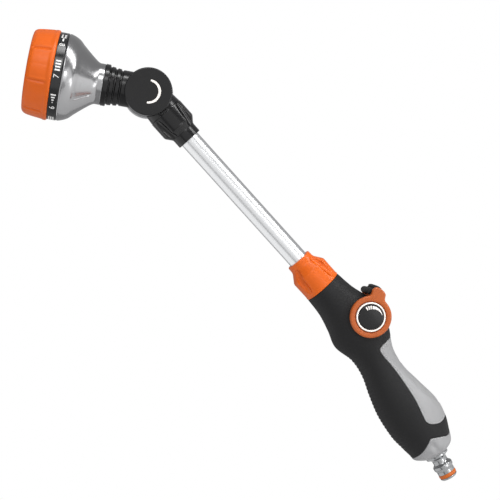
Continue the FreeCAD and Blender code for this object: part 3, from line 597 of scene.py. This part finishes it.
def grip_relief(place, normal, _):
    """Fine ribs round the fingers' side of the grip, fading out at its ends and sides."""
    span = ramp(RIB_LOW, RIB_LOW + RIB_FADE, place.z) * (1 - ramp(RIB_HIGH - RIB_FADE, RIB_HIGH, place.z))
    facing = ramp(0.5, 0.92, -normal.x)
    wave = 0.5 - 0.5 * cos(tau * place.z / RIB_PITCH)
    return RIB_DEPTH * span * facing * wave ** 2


DROP_AT = 60  # the drop's middle, how far it reaches down and up, and half its width
DROP_DOWN, DROP_UP, DROP_SIDE = 17, 34, 9.5


def insert_relief(place, _, from_edge):
    """A shallow frame line inside the insert's edge, and a long drop outlined by a groove in its middle."""
    line = 0.35 * dent(from_edge - 1.5, 0.35)
    length = DROP_DOWN if place.z < DROP_AT else DROP_UP
    drop = hypot((place.z - DROP_AT) / length, place.y / DROP_SIDE)
    return line + 0.4 * dent(drop - 0.95, 0.07) + 0.12 * (1 - ramp(0.8, 0.95, drop))


def bell_relief(place, normal, _):
    """A soft upright hollow on each face of the bell."""
    hollow = 0.9 * dent(place.x - 4.5, 2.6) * ramp(0.3, 0.8, abs(normal.y))
    return hollow * (1 - ramp(22, 27, place.z)) * ramp(12.5, 15, place.z)


def make_handle():
    """Grip cover, back insert and end bell, all cut from one blank."""
    blank = handle_blank()
    cover = handle_skin(
        blank, lambda bell, insert, height: min(bell - SEAM_GAP, -insert - SEAM_GAP, HANDLE_TOP - height),
        grip_relief)
    boss = [(11.5, 9), (15, 9), (15, 17.6), (11.5, 17.6)]
    bosses = [turned(boss, valve_side(side), 0.6) for side in (FRONT, BACK)]
    insert = handle_skin(blank, lambda bell, insert, height: insert - SEAM_GAP, insert_relief)
    bell = handle_skin(blank, lambda bell, insert, height: -bell - SEAM_GAP, bell_relief)
    blank.free()
    skins = [("grip_cover", joined(cover, *bosses), "black_rubber"),
             ("back_insert", insert, "grey_plastic"), ("end_bell", bell, "grey_plastic")]
    for node, bm, slot in skins:
        stand_in(node, "skin", bm, "root", slot, weighted=False)


# ---- hose plug

def make_plug():
    """Chromed plug: an O-ring groove, a catch ridge, a neck and a flange against the bell."""
    outline = [(4.8, -11.7), (6.6, -11.7), (7.6, -10.4), (7.6, -9.8, 0.1), (6.3, -9.8, 0.05),
               (6.3, -6.4, 0.05), (7.6, -6.4, 0.1), (7.6, -3.2, 0.5), (8.65, -1.3, 0.5), (8.65, 1.3, 0.5),
               (6.5, 3.4, 0.9), (6.5, 7.2, 0.9), (8.4, 9.4, 0.4), (10, 9.6, 0.4), (10, 11.6, 0.3),
               (7.6, 11.6, 0.1), (7.6, 24, 0.2), (4.8, 24, 0.2)]
    stand_in("hose_plug", "turned", turned(outline, PLUG, sides=128), "root", "plug_chrome")
    ring = [(6.32, -9.7, 0.3), (7.6, -9.75, 0.6), (7.95, -8.1, 1.2), (7.6, -6.45, 0.6), (6.32, -6.5, 0.3)]
    stand_in("plug_o_ring", "turned", turned(ring, PLUG), "root", "orange_rubber")


# ---- nuts, tube and collar

def make_tube():
    """Plain drawn tube between the two nuts."""
    outline = [(7.3, 187.02, 0.1), (8.5, 187.02, 0.2), (8.5, 376.98, 0.2), (7.3, 376.98, 0.1)]
    stand_in("tube", "drawn", turned(outline, TUBE, sides=192), "root", "tube_aluminium")


FLUTES = 4
FLUTE_RADIUS = 3.4
FLUTE_FLOOR = 11.3  # how near the axis a flute comes at its deep end
FLOOR_SHARE = 0.98  # of its half turn, before the lip starts
LIP_TURN = 0.09  # the lip beside a flute is rounded over this turn
LIP_DROP = 0.6
LIP_FADE = 0.1  # where a flute's half turn is less than this, its lip runs out


def flute_half_turn(radius, centre):
    """Half the turn that a round cutter, its axis at a distance from the nut's, takes out of a circle."""
    if radius <= centre - FLUTE_RADIUS:
        return 0.0
    return acos(min((radius ** 2 + centre ** 2 - FLUTE_RADIUS ** 2) / (2 * radius * centre), 1.0))


def flute_floor(turn, centre):
    """The cutter's near wall, in the direction that is so far from the flute's middle."""
    across = min(centre * sin(turn), FLUTE_RADIUS)
    return centre * cos(turn) - sqrt(FLUTE_RADIUS ** 2 - across ** 2)


def lobe_profile(radius, centre):
    """(turn, radius) from the middle of a flute to the middle of the lobe beside it."""
    floor_steps, lip_steps, lobe_steps = 9, 4, 12
    half = flute_half_turn(radius, centre)
    floor = [half * FLOOR_SHARE * step / floor_steps for step in range(floor_steps + 1)]
    profile = [(turn, min(flute_floor(turn, centre), radius) if half else radius) for turn in floor]
    for step in range(lip_steps + 1):
        drop = LIP_DROP * (1 - step / lip_steps) ** 2 * min(half / LIP_FADE, 1.0)
        profile.append((half + LIP_TURN * step / lip_steps, radius - drop))
    start = half + LIP_TURN
    return profile + [(start + (pi / FLUTES - start) * step / lobe_steps, radius)
                      for step in range(1, lobe_steps + 1)]


def fluted(outline, open_height, closed_height):
    """A nut turned from an outline, its flutes deep at one height and run out at the other."""
    rings = []
    widest = max(corner[0] for corner in outline)
    shallow = widest + FLUTE_RADIUS
    deep = FLUTE_FLOOR + FLUTE_RADIUS
    for radius, height in spaced(rounded(outline, fillet=0.3, closed=True), spacing=0.5, closed=True):
        part = (height - closed_height) / (open_height - closed_height)
        centre = shallow + (deep - shallow) * min(part, 1.0)
        cut = radius > FLUTE_FLOOR and part > 0
        profile = lobe_profile(radius, centre if cut else shallow + widest)
        both_halves = [(-turn, there) for turn, there in profile[:0:-1]] + profile[:-1]
        rings.append([polar(TUBE, tau * (flute + 0.5) / FLUTES + turn, there, height)
                      for flute in range(FLUTES) for turn, there in both_halves])
    return skin(rings, closed=True)


def make_nuts():
    """Two fluted compression nuts: the orange one on the handle and the black one under the pivot."""
    lower = [(10.9, 183.05), (16.35, 183.05), (16.75, 183.6, 0.2), (16.75, 184.5, 0.2), (16.5, 185.1, 0.4),
             (16.65, 200.6, 1.2), (11.35, 208.2, 1.6), (11.15, 213.4, 0.4), (10.8, 214, 0.3),
             (8.55, 214, 0.1), (8.55, 206), (10.6, 200), (10.6, 196), (10.9, 196)]
    stand_in("lower_nut", "moulded", fluted(lower, open_height=205.5, closed_height=185.8), "root",
             "orange_plastic", weighted=False)
    upper = [(8.55, 350), (10.7, 350, 0.3), (11.05, 350.4, 0.2), (11.05, 358.2, 1.2), (15.5, 363.8, 1.2),
             (15.5, 379.6, 0.3), (15.2, 379.95, 0.2), (10.9, 379.95), (10.9, 368), (10.6, 368), (10.6, 364),
             (8.55, 358)]
    stand_in("upper_nut", "moulded", fluted(upper, open_height=360.0, closed_height=379.3), "root",
             "black_plastic", weighted=False)


FRONT_CLEARANCE = 20.15  # the collar is hollowed round the front disc to this radius
DISC_CLEARANCE = 21.25  # and the spigot and the collar's far half to this one


def below_discs(radius, height, angle, front=DISC_CLEARANCE):
    """Keeps a point of the tube's side under the two pivot discs."""
    across = radius * cos(angle)
    reach = front if sin(angle) < 0 else DISC_CLEARANCE
    return radius, min(height, PIVOT_Z - sqrt(reach ** 2 - across ** 2))


def below_front_disc(radius, height, angle):
    return below_discs(radius, height, angle, FRONT_CLEARANCE)


def make_collar():
    """The black shoulder on top of the upper nut, hollowed out where the pivot's discs turn."""
    outline = [(12.2, 380.1), (15.2, 380.1, 0.3), (14.2, 391, 0.3), (12.2, 391, 0.3)]
    bm = turned(outline, TUBE, sides=192, spacing=0.5, form=below_front_disc)
    stand_in("knuckle_collar", "moulded", bm, "root", "black_plastic", weighted=False)


# ---- thumb lever

THUMB_TAB = [(8.5, 15.42), (10.8, 14.1), (12.6, 13.9), (14.2, 14.6), (16.4, 15.9), (19.6, 15.5),
             (21.7, 12.9), (22.4, 9.0), (21.8, 5.5), (19.4, 3.5), (17.9, 1.8), (17.57, -1.0)]
BRIDGE_BAR = [(14.4, 12.1), (15.4, 13.6), (19.0, 13.4), (20.4, 11.2), (20.9, 8.4), (20.2, 5.4),
              (18.9, 3.6), (18.2, 5.4), (16.8, 9.0)]
THUMB_PAD = [(11.2, 15.1), (11.6, 17.1), (13.5, 18.4), (16.0, 18.0), (17.8, 15.7), (18.5, 15.0),
             (19.5, 16.0), (21.5, 15.5), (22.9, 12.9), (23.1, 10.9), (22.6, 9.1), (20.5, 7.9),
             (17.4, 10.6), (14.4, 12.8)]
LEVER_RADIUS = 17.6
LEVER_INNER, LEVER_OUTER = 17.9, 22.6
LEVER_ROUND = 1.5  # radius of the ring's rounded rims
BEZEL_RADIUS, CAP_RADIUS = 12.3, 10.7
WEB_FACE = 20.0
TICKS, TICK_HALF = (74, 61, 48), 4  # degrees
WEDGE = (-33, 39)
TICK_RADII, WEDGE_RADII = ((6.5, 6.5), (9.4, 9.4)), ((9.3, 6.6), (9.6, 9.4))


def mirrored(points, side):
    """Outlines are drawn as seen from the front, and turned over for the far side."""
    return [Vector((point.x, point.y * -side)) for point in points]


def lever_outline(side):
    """The ring's circle, with the thumb tab standing out of it; the far one's is a little shorter."""
    shorten = 1.5 if side == BACK else 0.0
    tab = [point * (1 - shorten * ramp(18, 22, point.length) / point.length)
           for point in smooth(THUMB_TAB, 8)[::-1]]
    start = atan2(THUMB_TAB[0][1], THUMB_TAB[0][0])
    sweep = tau - (start - atan2(THUMB_TAB[-1][1], THUMB_TAB[-1][0]))
    count = 120
    for step in range(1, count):
        angle = start + sweep * step / count
        tab.append(Vector((cos(angle), sin(angle))) * LEVER_RADIUS)
    return anticlockwise(mirrored(tab, side))


def lever_ring(side, spot):
    """Ring and tab with rounded rims, a stepped well for the bezel and a web across its floor."""
    outline = lever_outline(side)
    well = [(14.3, LEVER_OUTER - 0.02), (13.7, LEVER_OUTER - 0.25), (13.2, LEVER_OUTER - 0.75),
            (13.0, LEVER_OUTER - 1.4), (13.0, WEB_FACE), (3.6, WEB_FACE), (3.6, LEVER_INNER)]
    rings = [lifted(spot, inset(outline, inward), height)
             for inward, height in edge_rows(LEVER_INNER, LEVER_OUTER, LEVER_ROUND)]
    rings += [lifted(spot, [point.normalized() * radius for point in outline], height)
              for radius, height in well]
    return skin(rings, closed=True)


def arc_sides(first, last, steps, radii):
    """The near and far sides of an arc between two angles in degrees; radii gives both at each part."""
    near, far = [], []
    for step in range(steps + 1):
        angle = radians(first + (last - first) * step / steps)
        direction = Vector((cos(angle), sin(angle)))
        inner, outer = radii(step / steps)
        near.append(direction * inner)
        far.append(direction * outer)
    return near, far


def flow_mark(side, spot):
    """Three ticks and a tapering wedge round the hub cap."""
    ticks = [arc_mark(side, spot, angle - TICK_HALF, angle + TICK_HALF, *TICK_RADII) for angle in TICKS]
    return joined(*ticks, arc_mark(side, spot, *WEDGE, *WEDGE_RADII))


def arc_mark(side, spot, first, last, inner, outer):
    """A raised mark between two angles; its inner and outer radii change evenly along it."""
    near, far = arc_sides(first, last, 24, lambda part: [ends[0] + (ends[1] - ends[0]) * part
                                                         for ends in (inner, outer)])
    outline = anticlockwise(mirrored(far + near[::-1], side))
    rings = []
    for inward, lift in ((0.0, -0.25), (0.0, 0.05), (0.06, 0.1)):
        rings.append([spot @ (Vector((point.x, point.y, cap_height(point.length) + lift)) * MM)
                      for point in inset(outline, inward)])
    return skin(rings, caps=True)


def cap_height(radius):
    """The gently domed face of the hub cap."""
    return 23.4 - 0.006 * radius ** 2


def make_lever():
    """An arm, hub cap and mark on each side of the handle, and the thumb pad that joins the arms."""
    for side, hand in HANDS.items():
        spot = valve_side(side)
        bar = plate(mirrored(cleared(BRIDGE_BAR), side), edge_rows(0.05, LEVER_INNER + 0.4, 0.3), spot)
        stand_in(f"lever_arm_{hand}", "moulded", joined(lever_ring(side, spot), bar), "lever",
                 "orange_plastic", own_finish="lever_gloss")
        bezel = [(CAP_RADIUS + 0.3, WEB_FACE), (BEZEL_RADIUS, WEB_FACE), (BEZEL_RADIUS, 23.0, 0.5),
                 (CAP_RADIUS + 0.3, 23.0, 0.5)]
        stand_in(f"hub_bezel_{hand}", "turned", turned(bezel, spot, 0.1), "lever", "white_plastic")
        cap = [(0, cap_height(0))]
        cap += [(radius, cap_height(radius), 0.5) for radius in (3, 6, 8.5, 9.9)]
        cap += [(10.5, 22.4, 0.5), (CAP_RADIUS, 21.8, 0.2), (CAP_RADIUS, WEB_FACE, 0.1),
                (4.4, WEB_FACE, 0.1), (4.4, 22.2, 0.1), (0, 22.2)]
        stand_in(f"hub_cap_{hand}", "turned", turned(cap, spot), "lever", "black_plastic")
        stand_in(f"flow_mark_{hand}", "raised", flow_mark(side, spot), "lever", "white_plastic")
    pad = plate(mirrored(cleared(THUMB_PAD), FRONT), edge_rows(-17.6, 17.6, 1.1, crown=0.35),
                valve_side(FRONT))
    stand_in("thumb_pad", "moulded", pad, "lever", "black_rubber")


def cleared(points, least=18.75):
    """A smooth closed outline, kept outside the circle that the handle's boss needs."""
    return [point if point.length > least else point.normalized() * least
            for point in smooth(points, 8, closed=True)]


# ---- tilt pivot

NECK_START = 12.0  # height along the head's axis
RIBS_START = 22.4
FAR_REACH, FRONT_REACH = 21.3, 18.0  # how near the pivot's axis the neck comes on each side
FRONT_SIDE = -0.55  # where it changes from one to the other


def neck_start(radius, angle):
    """Where the ribbed neck begins along the head's axis, so that it clears the far disc."""
    across, side = radius * cos(angle), radius * sin(angle)
    reach = FAR_REACH if side > FRONT_SIDE else FRONT_REACH
    return sqrt(max(reach ** 2 - across ** 2, 1.0))


def neck_form(radius, height, angle):
    """Fits the neck's first stretch to the discs, and leaves the rest as it is."""
    if height >= RIBS_START:
        return radius, height
    start = min(neck_start(radius, angle), RIBS_START - 0.3)
    return radius, start + (RIBS_START - start) * (height - NECK_START) / (RIBS_START - NECK_START)


def make_elbow():
    """Front disc and ribbed neck, which carry the head."""
    front = pivot_side(FRONT)
    disc = [(8.7, 0.65), (19.8, 0.65, 0.2), (19.8, 18.0, 0.5), (19.2, 18.6, 0.5), (12.66, 18.6, 0),
            (12.66, 16.3, 0.1), (8.7, 16.3)]
    neck = [(6, NECK_START), (15.0, NECK_START, 0.2), (15.0, RIBS_START, 0.3), (14.1, 23.1, 0.2),
            (14.1, 23.9, 0.2), (15.4, 24.6, 0.3), (15.6, 27.3, 0.3), (14.6, 28.0, 0.2), (14.6, 28.8, 0.2),
            (15.9, 29.5, 0.3), (16.1, 32.2, 0.3), (15.5, 32.7, 0.2), (15.5, 33.3, 0.2),
            (17.4, 33.9, 0.4), (17.4, 37.65, 0.3),
            (11.5, 37.65, 0.2), (11.5, 45.6, 0.2), (6, 45.6, 0.2)]
    parts = [turned(disc, front, 0.2, sides=180),
             turned(neck, HEAD, 0.2, sides=180, spacing=1.2, form=neck_form)]
    stand_in("head_elbow", "moulded", joined(*parts), "head", "black_plastic")
    cap = [(0, 18.6), (12.64, 18.6, 0), (12.64, 16.25, 0.1),
           (4.6, 16.25, 0.1), (4.6, 17.1, 0.1), (0, 17.1)]
    stand_in("pivot_cap", "turned", turned(cap, front), "head", "black_plastic")


CRESCENT_RADIUS = 9.2
CRESCENT_ENDS = (-139, 34)  # degrees
CRESCENT_TIP = 0.5  # how far its rounded ends stand out


def crescent_radii(part):
    half = 0.72 + 0.3 * sin(pi * part) ** 0.6
    return CRESCENT_RADIUS - half, CRESCENT_RADIUS + half


def make_tilt_mark():
    """A white crescent let into the pivot cap, thickest in its middle."""
    near, far = arc_sides(*CRESCENT_ENDS, 48, crescent_radii)
    start_tip, end_tip = [(far[index] + near[index]) / 2
                          + (far[index] - near[index]).normalized().orthogonal() * out * CRESCENT_TIP
                          for index, out in ((0, -1), (-1, 1))]
    outline = anticlockwise(far + [end_tip] + near[::-1] + [start_tip])
    rows = [(0.0, 18.2), (0.0, 18.66), (0.08, 18.74)]
    stand_in("tilt_mark", "raised", plate(outline, rows, pivot_side(FRONT)), "head", "white_plastic")


def make_knuckle():
    """Silver far disc with a stepped face and screw cap, on the spigot that goes down into the nut."""
    back = pivot_side(BACK)
    disc = [(0, 17.2), (4.2, 17.2, 0.4), (4.9, 17.8, 0.3), (6.6, 17.8, 0.3), (7.3, 16.9, 0.4),
            (13.4, 16.9, 0.5), (14.6, 18.0, 0.6), (18.6, 18.0, 0.9), (20.8, 15.8, 1.4), (20.8, 0.65, 0.3),
            (8.5, 0.65, 0.1), (8.5, -12.0, 0.2), (0, -12.0)]
    spigot = [(0, 368), (12.1, 368, 0.2), (12.1, 396, 0.1), (0, 396)]
    parts = [turned(disc, back, sides=180),
             turned(spigot, TUBE, sides=144, spacing=1.0, form=below_discs)]
    stand_in("pivot_knuckle", "moulded", joined(*parts), "root", "silver_plastic")


# ---- head shell and selector dial

LABEL_TURN = radians(7.5)  # where setting 1 stands, about the head's axis
SETTINGS = 8
SETTING_STEP = tau / SETTINGS
NOTCH_TURN = LABEL_TURN + SETTING_STEP / 2

CREASE_TURN = radians(127)
CREASE_DEPTH, CREASE_WIDTH = 0.7, 0.55
CREASE_FOOT, CREASE_TOP = (45, 49), (57, 62)
FLARE_FROM = 17  # the shell's outside is beyond this radius


def shell_form(radius, height, angle):
    """Two fine moulded creases on the shell's flanks."""
    if radius > FLARE_FROM:
        away = radius * min(angle_gap(angle, CREASE_TURN), angle_gap(angle, -CREASE_TURN))
        along = ramp(*CREASE_FOOT, height) * (1 - ramp(*CREASE_TOP, height))
        radius -= CREASE_DEPTH * dent(away, CREASE_WIDTH) * along
    return radius, height


def make_shell():
    """Silver shell that flares from the neck's collar out to the label band."""
    flare = smooth([(17.1, 42.7), (18.8, 45.7), (23.6, 51.7), (28.8, 57.7), (32.6, 61.7), (34.8, 65.7),
                    (36.0, 69.2)], 5)
    outline = [(11.55, 37.75), (16.7, 37.75, 0.3), (17.1, 38.2, 0.2), (17.1, 41.6, 0.4)]
    outline += [(point.x, point.y, 0) for point in flare]
    outline += [(36.2, 70.2, 0.3), (35.9, 71.0, 0.2), (31, 71.0), (31, 66), (27, 66), (27, 64), (14, 52.5),
                (11.55, 48)]
    bm = turned(outline, HEAD, sides=360, spacing=1.0, form=shell_form)
    stand_in("head_shell", "moulded", bm, "head", "silver_plastic")


DIAL_INSIDE = 32.6  # the dial's outside is beyond this radius
NOTCH_DEPTH, NOTCH_WIDTH = 0.75, 0.8
NOTCH_FOOT, NOTCH_TOP = (82, 84.5), (96.5, 99)  # heights over which the notches fade
SHOULDER_RISE, SHOULDER_PLACE, SHOULDER_WIDTH = 0.3, 2.2, 1.2
FACE_FOOT = (81, 84)
FLAT_DEPTH = 0.45


def dial_form(radius, height, angle):
    """Eight slightly flattened faces, and between each two a shallow notch with a shoulder at both sides."""
    if radius < DIAL_INSIDE:
        return radius, height
    away = angle_gap(angle * SETTINGS, NOTCH_TURN * SETTINGS) / SETTINGS
    front = ramp(*FACE_FOOT, height)
    grip = ramp(*NOTCH_FOOT, height)
    notch = NOTCH_DEPTH * dent(away * radius, NOTCH_WIDTH) * grip * (1 - ramp(*NOTCH_TOP, height))
    shoulder = SHOULDER_RISE * dent(away * radius - SHOULDER_PLACE, SHOULDER_WIDTH) * grip
    flat = FLAT_DEPTH * (away / (SETTING_STEP / 2)) ** 2
    return radius - notch - (flat + SHOULDER_RISE - shoulder) * front, height


def make_dial():
    """Orange selector ring round the spray face."""
    outline = [(32.05, 78.85), (36.6, 78.85, 0.5), (37.57, 79.9, 0.6), (37.57, 82.2, 0.8), (36.5, 91.7, 2.0),
               (35.6, 97.2, 2.0), (34.2, 99.5, 0.9), (33.0, 100.2, 0.6), (31.3, 100.2, 0.3),
               (31.0, 99.8, 0.2), (31.0, 98.5, 0.1), (32.05, 98.5, 0.1)]
    bm = turned(outline, HEAD, sides=480, spacing=0.7, form=dial_form)
    stand_in("dial_ring", "moulded", bm, "dial", "orange_plastic")


BAND_RADIUS, BAND_MIDDLE = 36.3, 75.05
DIGIT_SIZE = 6.6
DIGIT_START, PICTURE_START = -9.2, -3.2  # along the band, from the setting's middle
MARK_SPAN = (-8, 14)  # every flat mark lies between these


def make_band():
    """Black band that carries the settings' numbers and pictures."""
    outline = [(33.35, 71.45), (36.1, 71.45, 0.2), (BAND_RADIUS, 71.8, 0.15), (BAND_RADIUS, 78.4, 0.15),
               (36.1, 78.7, 0.1), (33.35, 78.7)]
    stand_in("label_band", "turned", turned(outline, HEAD, 0.1, sides=240), "dial", "black_plastic",
             own_finish="band_gloss")


def on_band(across, up, lift):
    """A point on the label band: across runs round it, up runs towards the spray face."""
    return polar(HEAD, across / BAND_RADIUS, BAND_RADIUS + lift, BAND_MIDDLE + up)


def wrapped(flat, middle):
    """Bends a flat mark, drawn in millimetres, round the band."""
    for cut in range(*MARK_SPAN):
        bmesh.ops.bisect_plane(flat, geom=[*flat.verts, *flat.edges, *flat.faces],
                               plane_co=(cut, 0, 0), plane_no=(1, 0, 0))
    for vert in flat.verts:
        vert.co = on_band(middle + vert.co.x, vert.co.y, vert.co.z)
    bmesh.ops.recalc_face_normals(flat, faces=flat.faces)
    return flat


def band_mark(outline, middle):
    """A thin raised mark with any closed outline."""
    outline = anticlockwise(outline)
    rings = [[(point.x, point.y, lift) for point in outline] for lift in (-0.08, 0.09)]
    return wrapped(skin(rings, caps=True), middle)


def stripe(start, end, width):
    start, end = Vector(start), Vector(end)
    run = end - start
    side = Vector((-run.y, run.x)).normalized() * width / 2
    return [start + side, end + side, end - side, start - side]


def dot(centre, radius):
    return [Vector(centre) + Vector((cos(turn), sin(turn))) * radius for turn in circle(14)]


# Closed outlines that show each setting's spray, up to 11 mm long and 4.7 mm high.
SPRAY_PICTURES = [
    [stripe((0, 0), (11, 0), 1.4)],
    [stripe((0, 0), (10, rise), 0.9) for rise in (-1.9, 0, 1.9)],
    [dot((1.8 + 3.7 * step, 0), 1.65) for step in range(3)],
    [dot((0.9 + 2.4 * step, rise), 0.75) for step in range(5) for rise in (-1.6, 0, 1.6)],
    [stripe((0, rise), (10.5, rise), 0.9) for rise in (-1.7, 0, 1.7)],
    [stripe((1.2 + 2.4 * step, -0.6 * step - 0.3), (1.2 + 2.4 * step, 0.6 * step + 0.3), 1.2)
     for step in range(4)],
    [stripe((0.8 + 2.5 * step, -2.1), (0.8 + 2.5 * step, 2.1), 1.35) for step in range(4)],
    [stripe((0, 0), (4.2, 0), 1.1)]
    + [dot((6 + 2.2 * step, rise), 0.8) for step in range(3) for rise in (-1.3, 1.3)],
]


def digit_mark(number, middle):
    """The setting's number, bent round the band."""
    curve = bpy.data.curves.new("digit", "FONT")
    curve.body = str(number)
    curve.size = DIGIT_SIZE
    curve.extrude = 0.07
    curve.resolution_u = 3
    item = bpy.data.objects.new("digit", curve)
    mesh = bpy.data.meshes.new_from_object(item)
    bm = bmesh.new()
    bm.from_mesh(mesh)
    ups = [vert.co.y for vert in bm.verts]
    middle_up = (min(ups) + max(ups)) / 2
    for vert in bm.verts:
        vert.co.y -= middle_up
        vert.co.z += 0.02
    bpy.data.objects.remove(item)
    bpy.data.curves.remove(curve)
    bpy.data.meshes.remove(mesh)
    return wrapped(bm, middle)


def make_band_marks():
    marks = []
    for setting, picture in enumerate(SPRAY_PICTURES):
        middle = BAND_RADIUS * (LABEL_TURN + SETTING_STEP * setting)
        marks.append(digit_mark(setting + 1, middle + DIGIT_START))
        marks += [band_mark(outline, middle + PICTURE_START) for outline in picture]
    piece("setting_marks", joined(*marks), "dial", "white_plastic", weighted=False, own_finish="mark_grey")


NOZZLES = [(12.5, 1), (18.0, 2), (23.5, 3), (28.0, 4)]  # (radius, how many side by side)
NOZZLE_RIM = [(0.95, 98.3), (1.75, 98.3), (1.45, 99.3, 0.15), (0.95, 99.3, 0.15)]
NOZZLE_STEP = 9.0  # degrees


def make_spray_face():
    """Raised nozzle rims round the jets and a rib between each two settings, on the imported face."""
    parts = []
    for setting in range(SETTINGS):
        for radius, across in NOZZLES:
            for place in range(across):
                off_middle = radians(NOZZLE_STEP * (place - (across - 1) / 2))
                turn = SETTING_STEP * setting + LABEL_TURN + off_middle
                move = Matrix.Rotation(turn, 4, "Z") @ Matrix.Translation(Vector((radius * MM, 0, 0)))
                parts.append(turned(NOZZLE_RIM, HEAD @ move, 0.1, sides=20))
        turn = Matrix.Rotation(NOTCH_TURN + SETTING_STEP * setting, 4, "Z")
        rib = stripe((8.5, 0), (30.2, 0), 1.0)
        parts.append(plate(rib, [(0, 98.2), (0, 98.9), (0.15, 99.05)], HEAD @ turn))
    hub = [(7.2, 98.3), (8.4, 98.3), (8.1, 99.5, 0.2), (7.0, 99.5, 0.2), (5.4, 98.9, 0.8), (0, 98.8)]
    parts.append(turned(hub[::-1], HEAD, 0.2))
    piece("spray_nozzles", joined(*parts), "dial", "black_plastic", weighted=False)


# ---- camera, light and floor

CAMERA_AT = Vector((-51.65, -1250.0, 350.5)) * MM
CAMERA_AIM = Vector((1.05, 0.0, 247.4)) * MM
CAMERA_ROLL = radians(42.1)
CAMERA_SENSOR, CAMERA_LENS = 36, 107.6


def view_axes():
    """The camera's right, up and backward directions."""
    toward = (CAMERA_AT - CAMERA_AIM).normalized()
    right = Z.cross(toward).normalized()
    roll = Matrix.Rotation(-CAMERA_ROLL, 3, toward)
    return roll @ right, roll @ toward.cross(right), toward


RIGHT, UP, TOWARD = view_axes()


def make_camera():
    data = bpy.data.cameras.new("camera")
    data.sensor_width = CAMERA_SENSOR
    data.lens = CAMERA_LENS
    camera = placed("camera", data)
    camera.matrix_world = Matrix.Translation(CAMERA_AT) @ Matrix((RIGHT, UP, TOWARD)).transposed().to_4x4()
    bpy.context.scene.camera = camera


LIT_POINT = Vector((0, 0, 0.25))  # the middle of the wand, which every panel faces
# name, direction from there, distance, size, and how bright the panel looks in a mirror
PANELS = [
    ("strip", Vector((0.93, -0.34, 0.25)), 0.95, (0.42, 1.2), 1.7),
    ("strip_core", Vector((0.94, -0.36, 0.25)), 0.93, (0.1, 1.2), 12),
    ("key", TOWARD * 0.8 + UP * 0.6 - RIGHT * 0.1, 1.5, (0.6, 0.6), 4.5),
    ("front_wall", TOWARD, 2.0, (2.4, 2.4), 0.55),
    ("left_panel", Vector((-1.0, 0.0, 0.1)), 1.3, (2.2, 1.4), 0.7),
    ("low_panel", Vector((0.42, -0.80, -0.35)), 1.3, (0.85, 0.8), 0.85),
    ("spot_panel", Vector((0.40, -0.89, -0.16)), 1.1, (0.1, 0.14), 9),
    ("band_panel", Vector((0.65, -0.36, 0.83)), 1.11, (0.45, 0.16), 6),
    ("plug_panel", Vector((0.275, -0.40, -0.385)), 0.62, (0.12, 0.24), 3),
]


def make_lights():
    """Soft panels, which the camera does not see."""
    for name, direction, distance, size, brightness in PANELS:
        data = bpy.data.lights.new(name, "AREA")
        data.shape = "RECTANGLE"
        data.size, data.size_y = size
        data.energy = brightness * pi * size[0] * size[1]
        lamp = placed(name, data)
        lamp.location = LIT_POINT + direction.normalized() * distance
        lamp.rotation_mode = "QUATERNION"
        lamp.rotation_quaternion = (-direction).to_track_quat("-Z", "Y")
        lamp.visible_camera = False


def make_world():
    """White behind the wand, and a grey room for it to reflect."""
    world = bpy.data.worlds.new("studio")
    world.use_nodes = True
    nodes, links = world.node_tree.nodes, world.node_tree.links
    room = nodes["Background"]
    room.inputs["Color"].default_value = (0.38, 0.38, 0.385, 1)
    backdrop = nodes.new("ShaderNodeBackground")
    backdrop.inputs["Color"].default_value = (1, 1, 1, 1)
    seen = nodes.new("ShaderNodeLightPath")
    blend = nodes.new("ShaderNodeMixShader")
    links.new(seen.outputs["Is Camera Ray"], blend.inputs["Fac"])
    links.new(room.outputs["Background"], blend.inputs[1])
    links.new(backdrop.outputs["Background"], blend.inputs[2])
    links.new(blend.outputs["Shader"], nodes["World Output"].inputs["Surface"])
    bpy.context.scene.world = world
    bpy.context.scene.view_settings.view_transform = "Standard"


def make_floor():
    """A round pale floor well below the wand, which hangs in front of a plain background."""
    surface = Surface("floor_paint", linear(250, 250, 250), 0.8, Emission_Strength=0.1)
    surface.vary_colour(60, 0.01)
    surface.vary_roughness(40, 0.05)
    radius, height = 0.85, -0.35
    bm = bmesh.new()
    bm.faces.new([bm.verts.new((radius * cos(turn), radius * sin(turn), height))
                  for turn in circle(120)])
    mesh = mesh_of("floor", bm)
    mesh.materials.append(surface.material)
    placed("floor", mesh)


# ---- the whole scene

make_camera()
make_lights()
make_world()
make_floor()
finish_frame_nodes()
make_handle()
make_plug()
make_tube()
make_nuts()
make_collar()
make_lever()
make_elbow()
make_tilt_mark()
make_knuckle()
make_shell()
make_dial()
make_band()
make_band_marks()
make_spray_face()
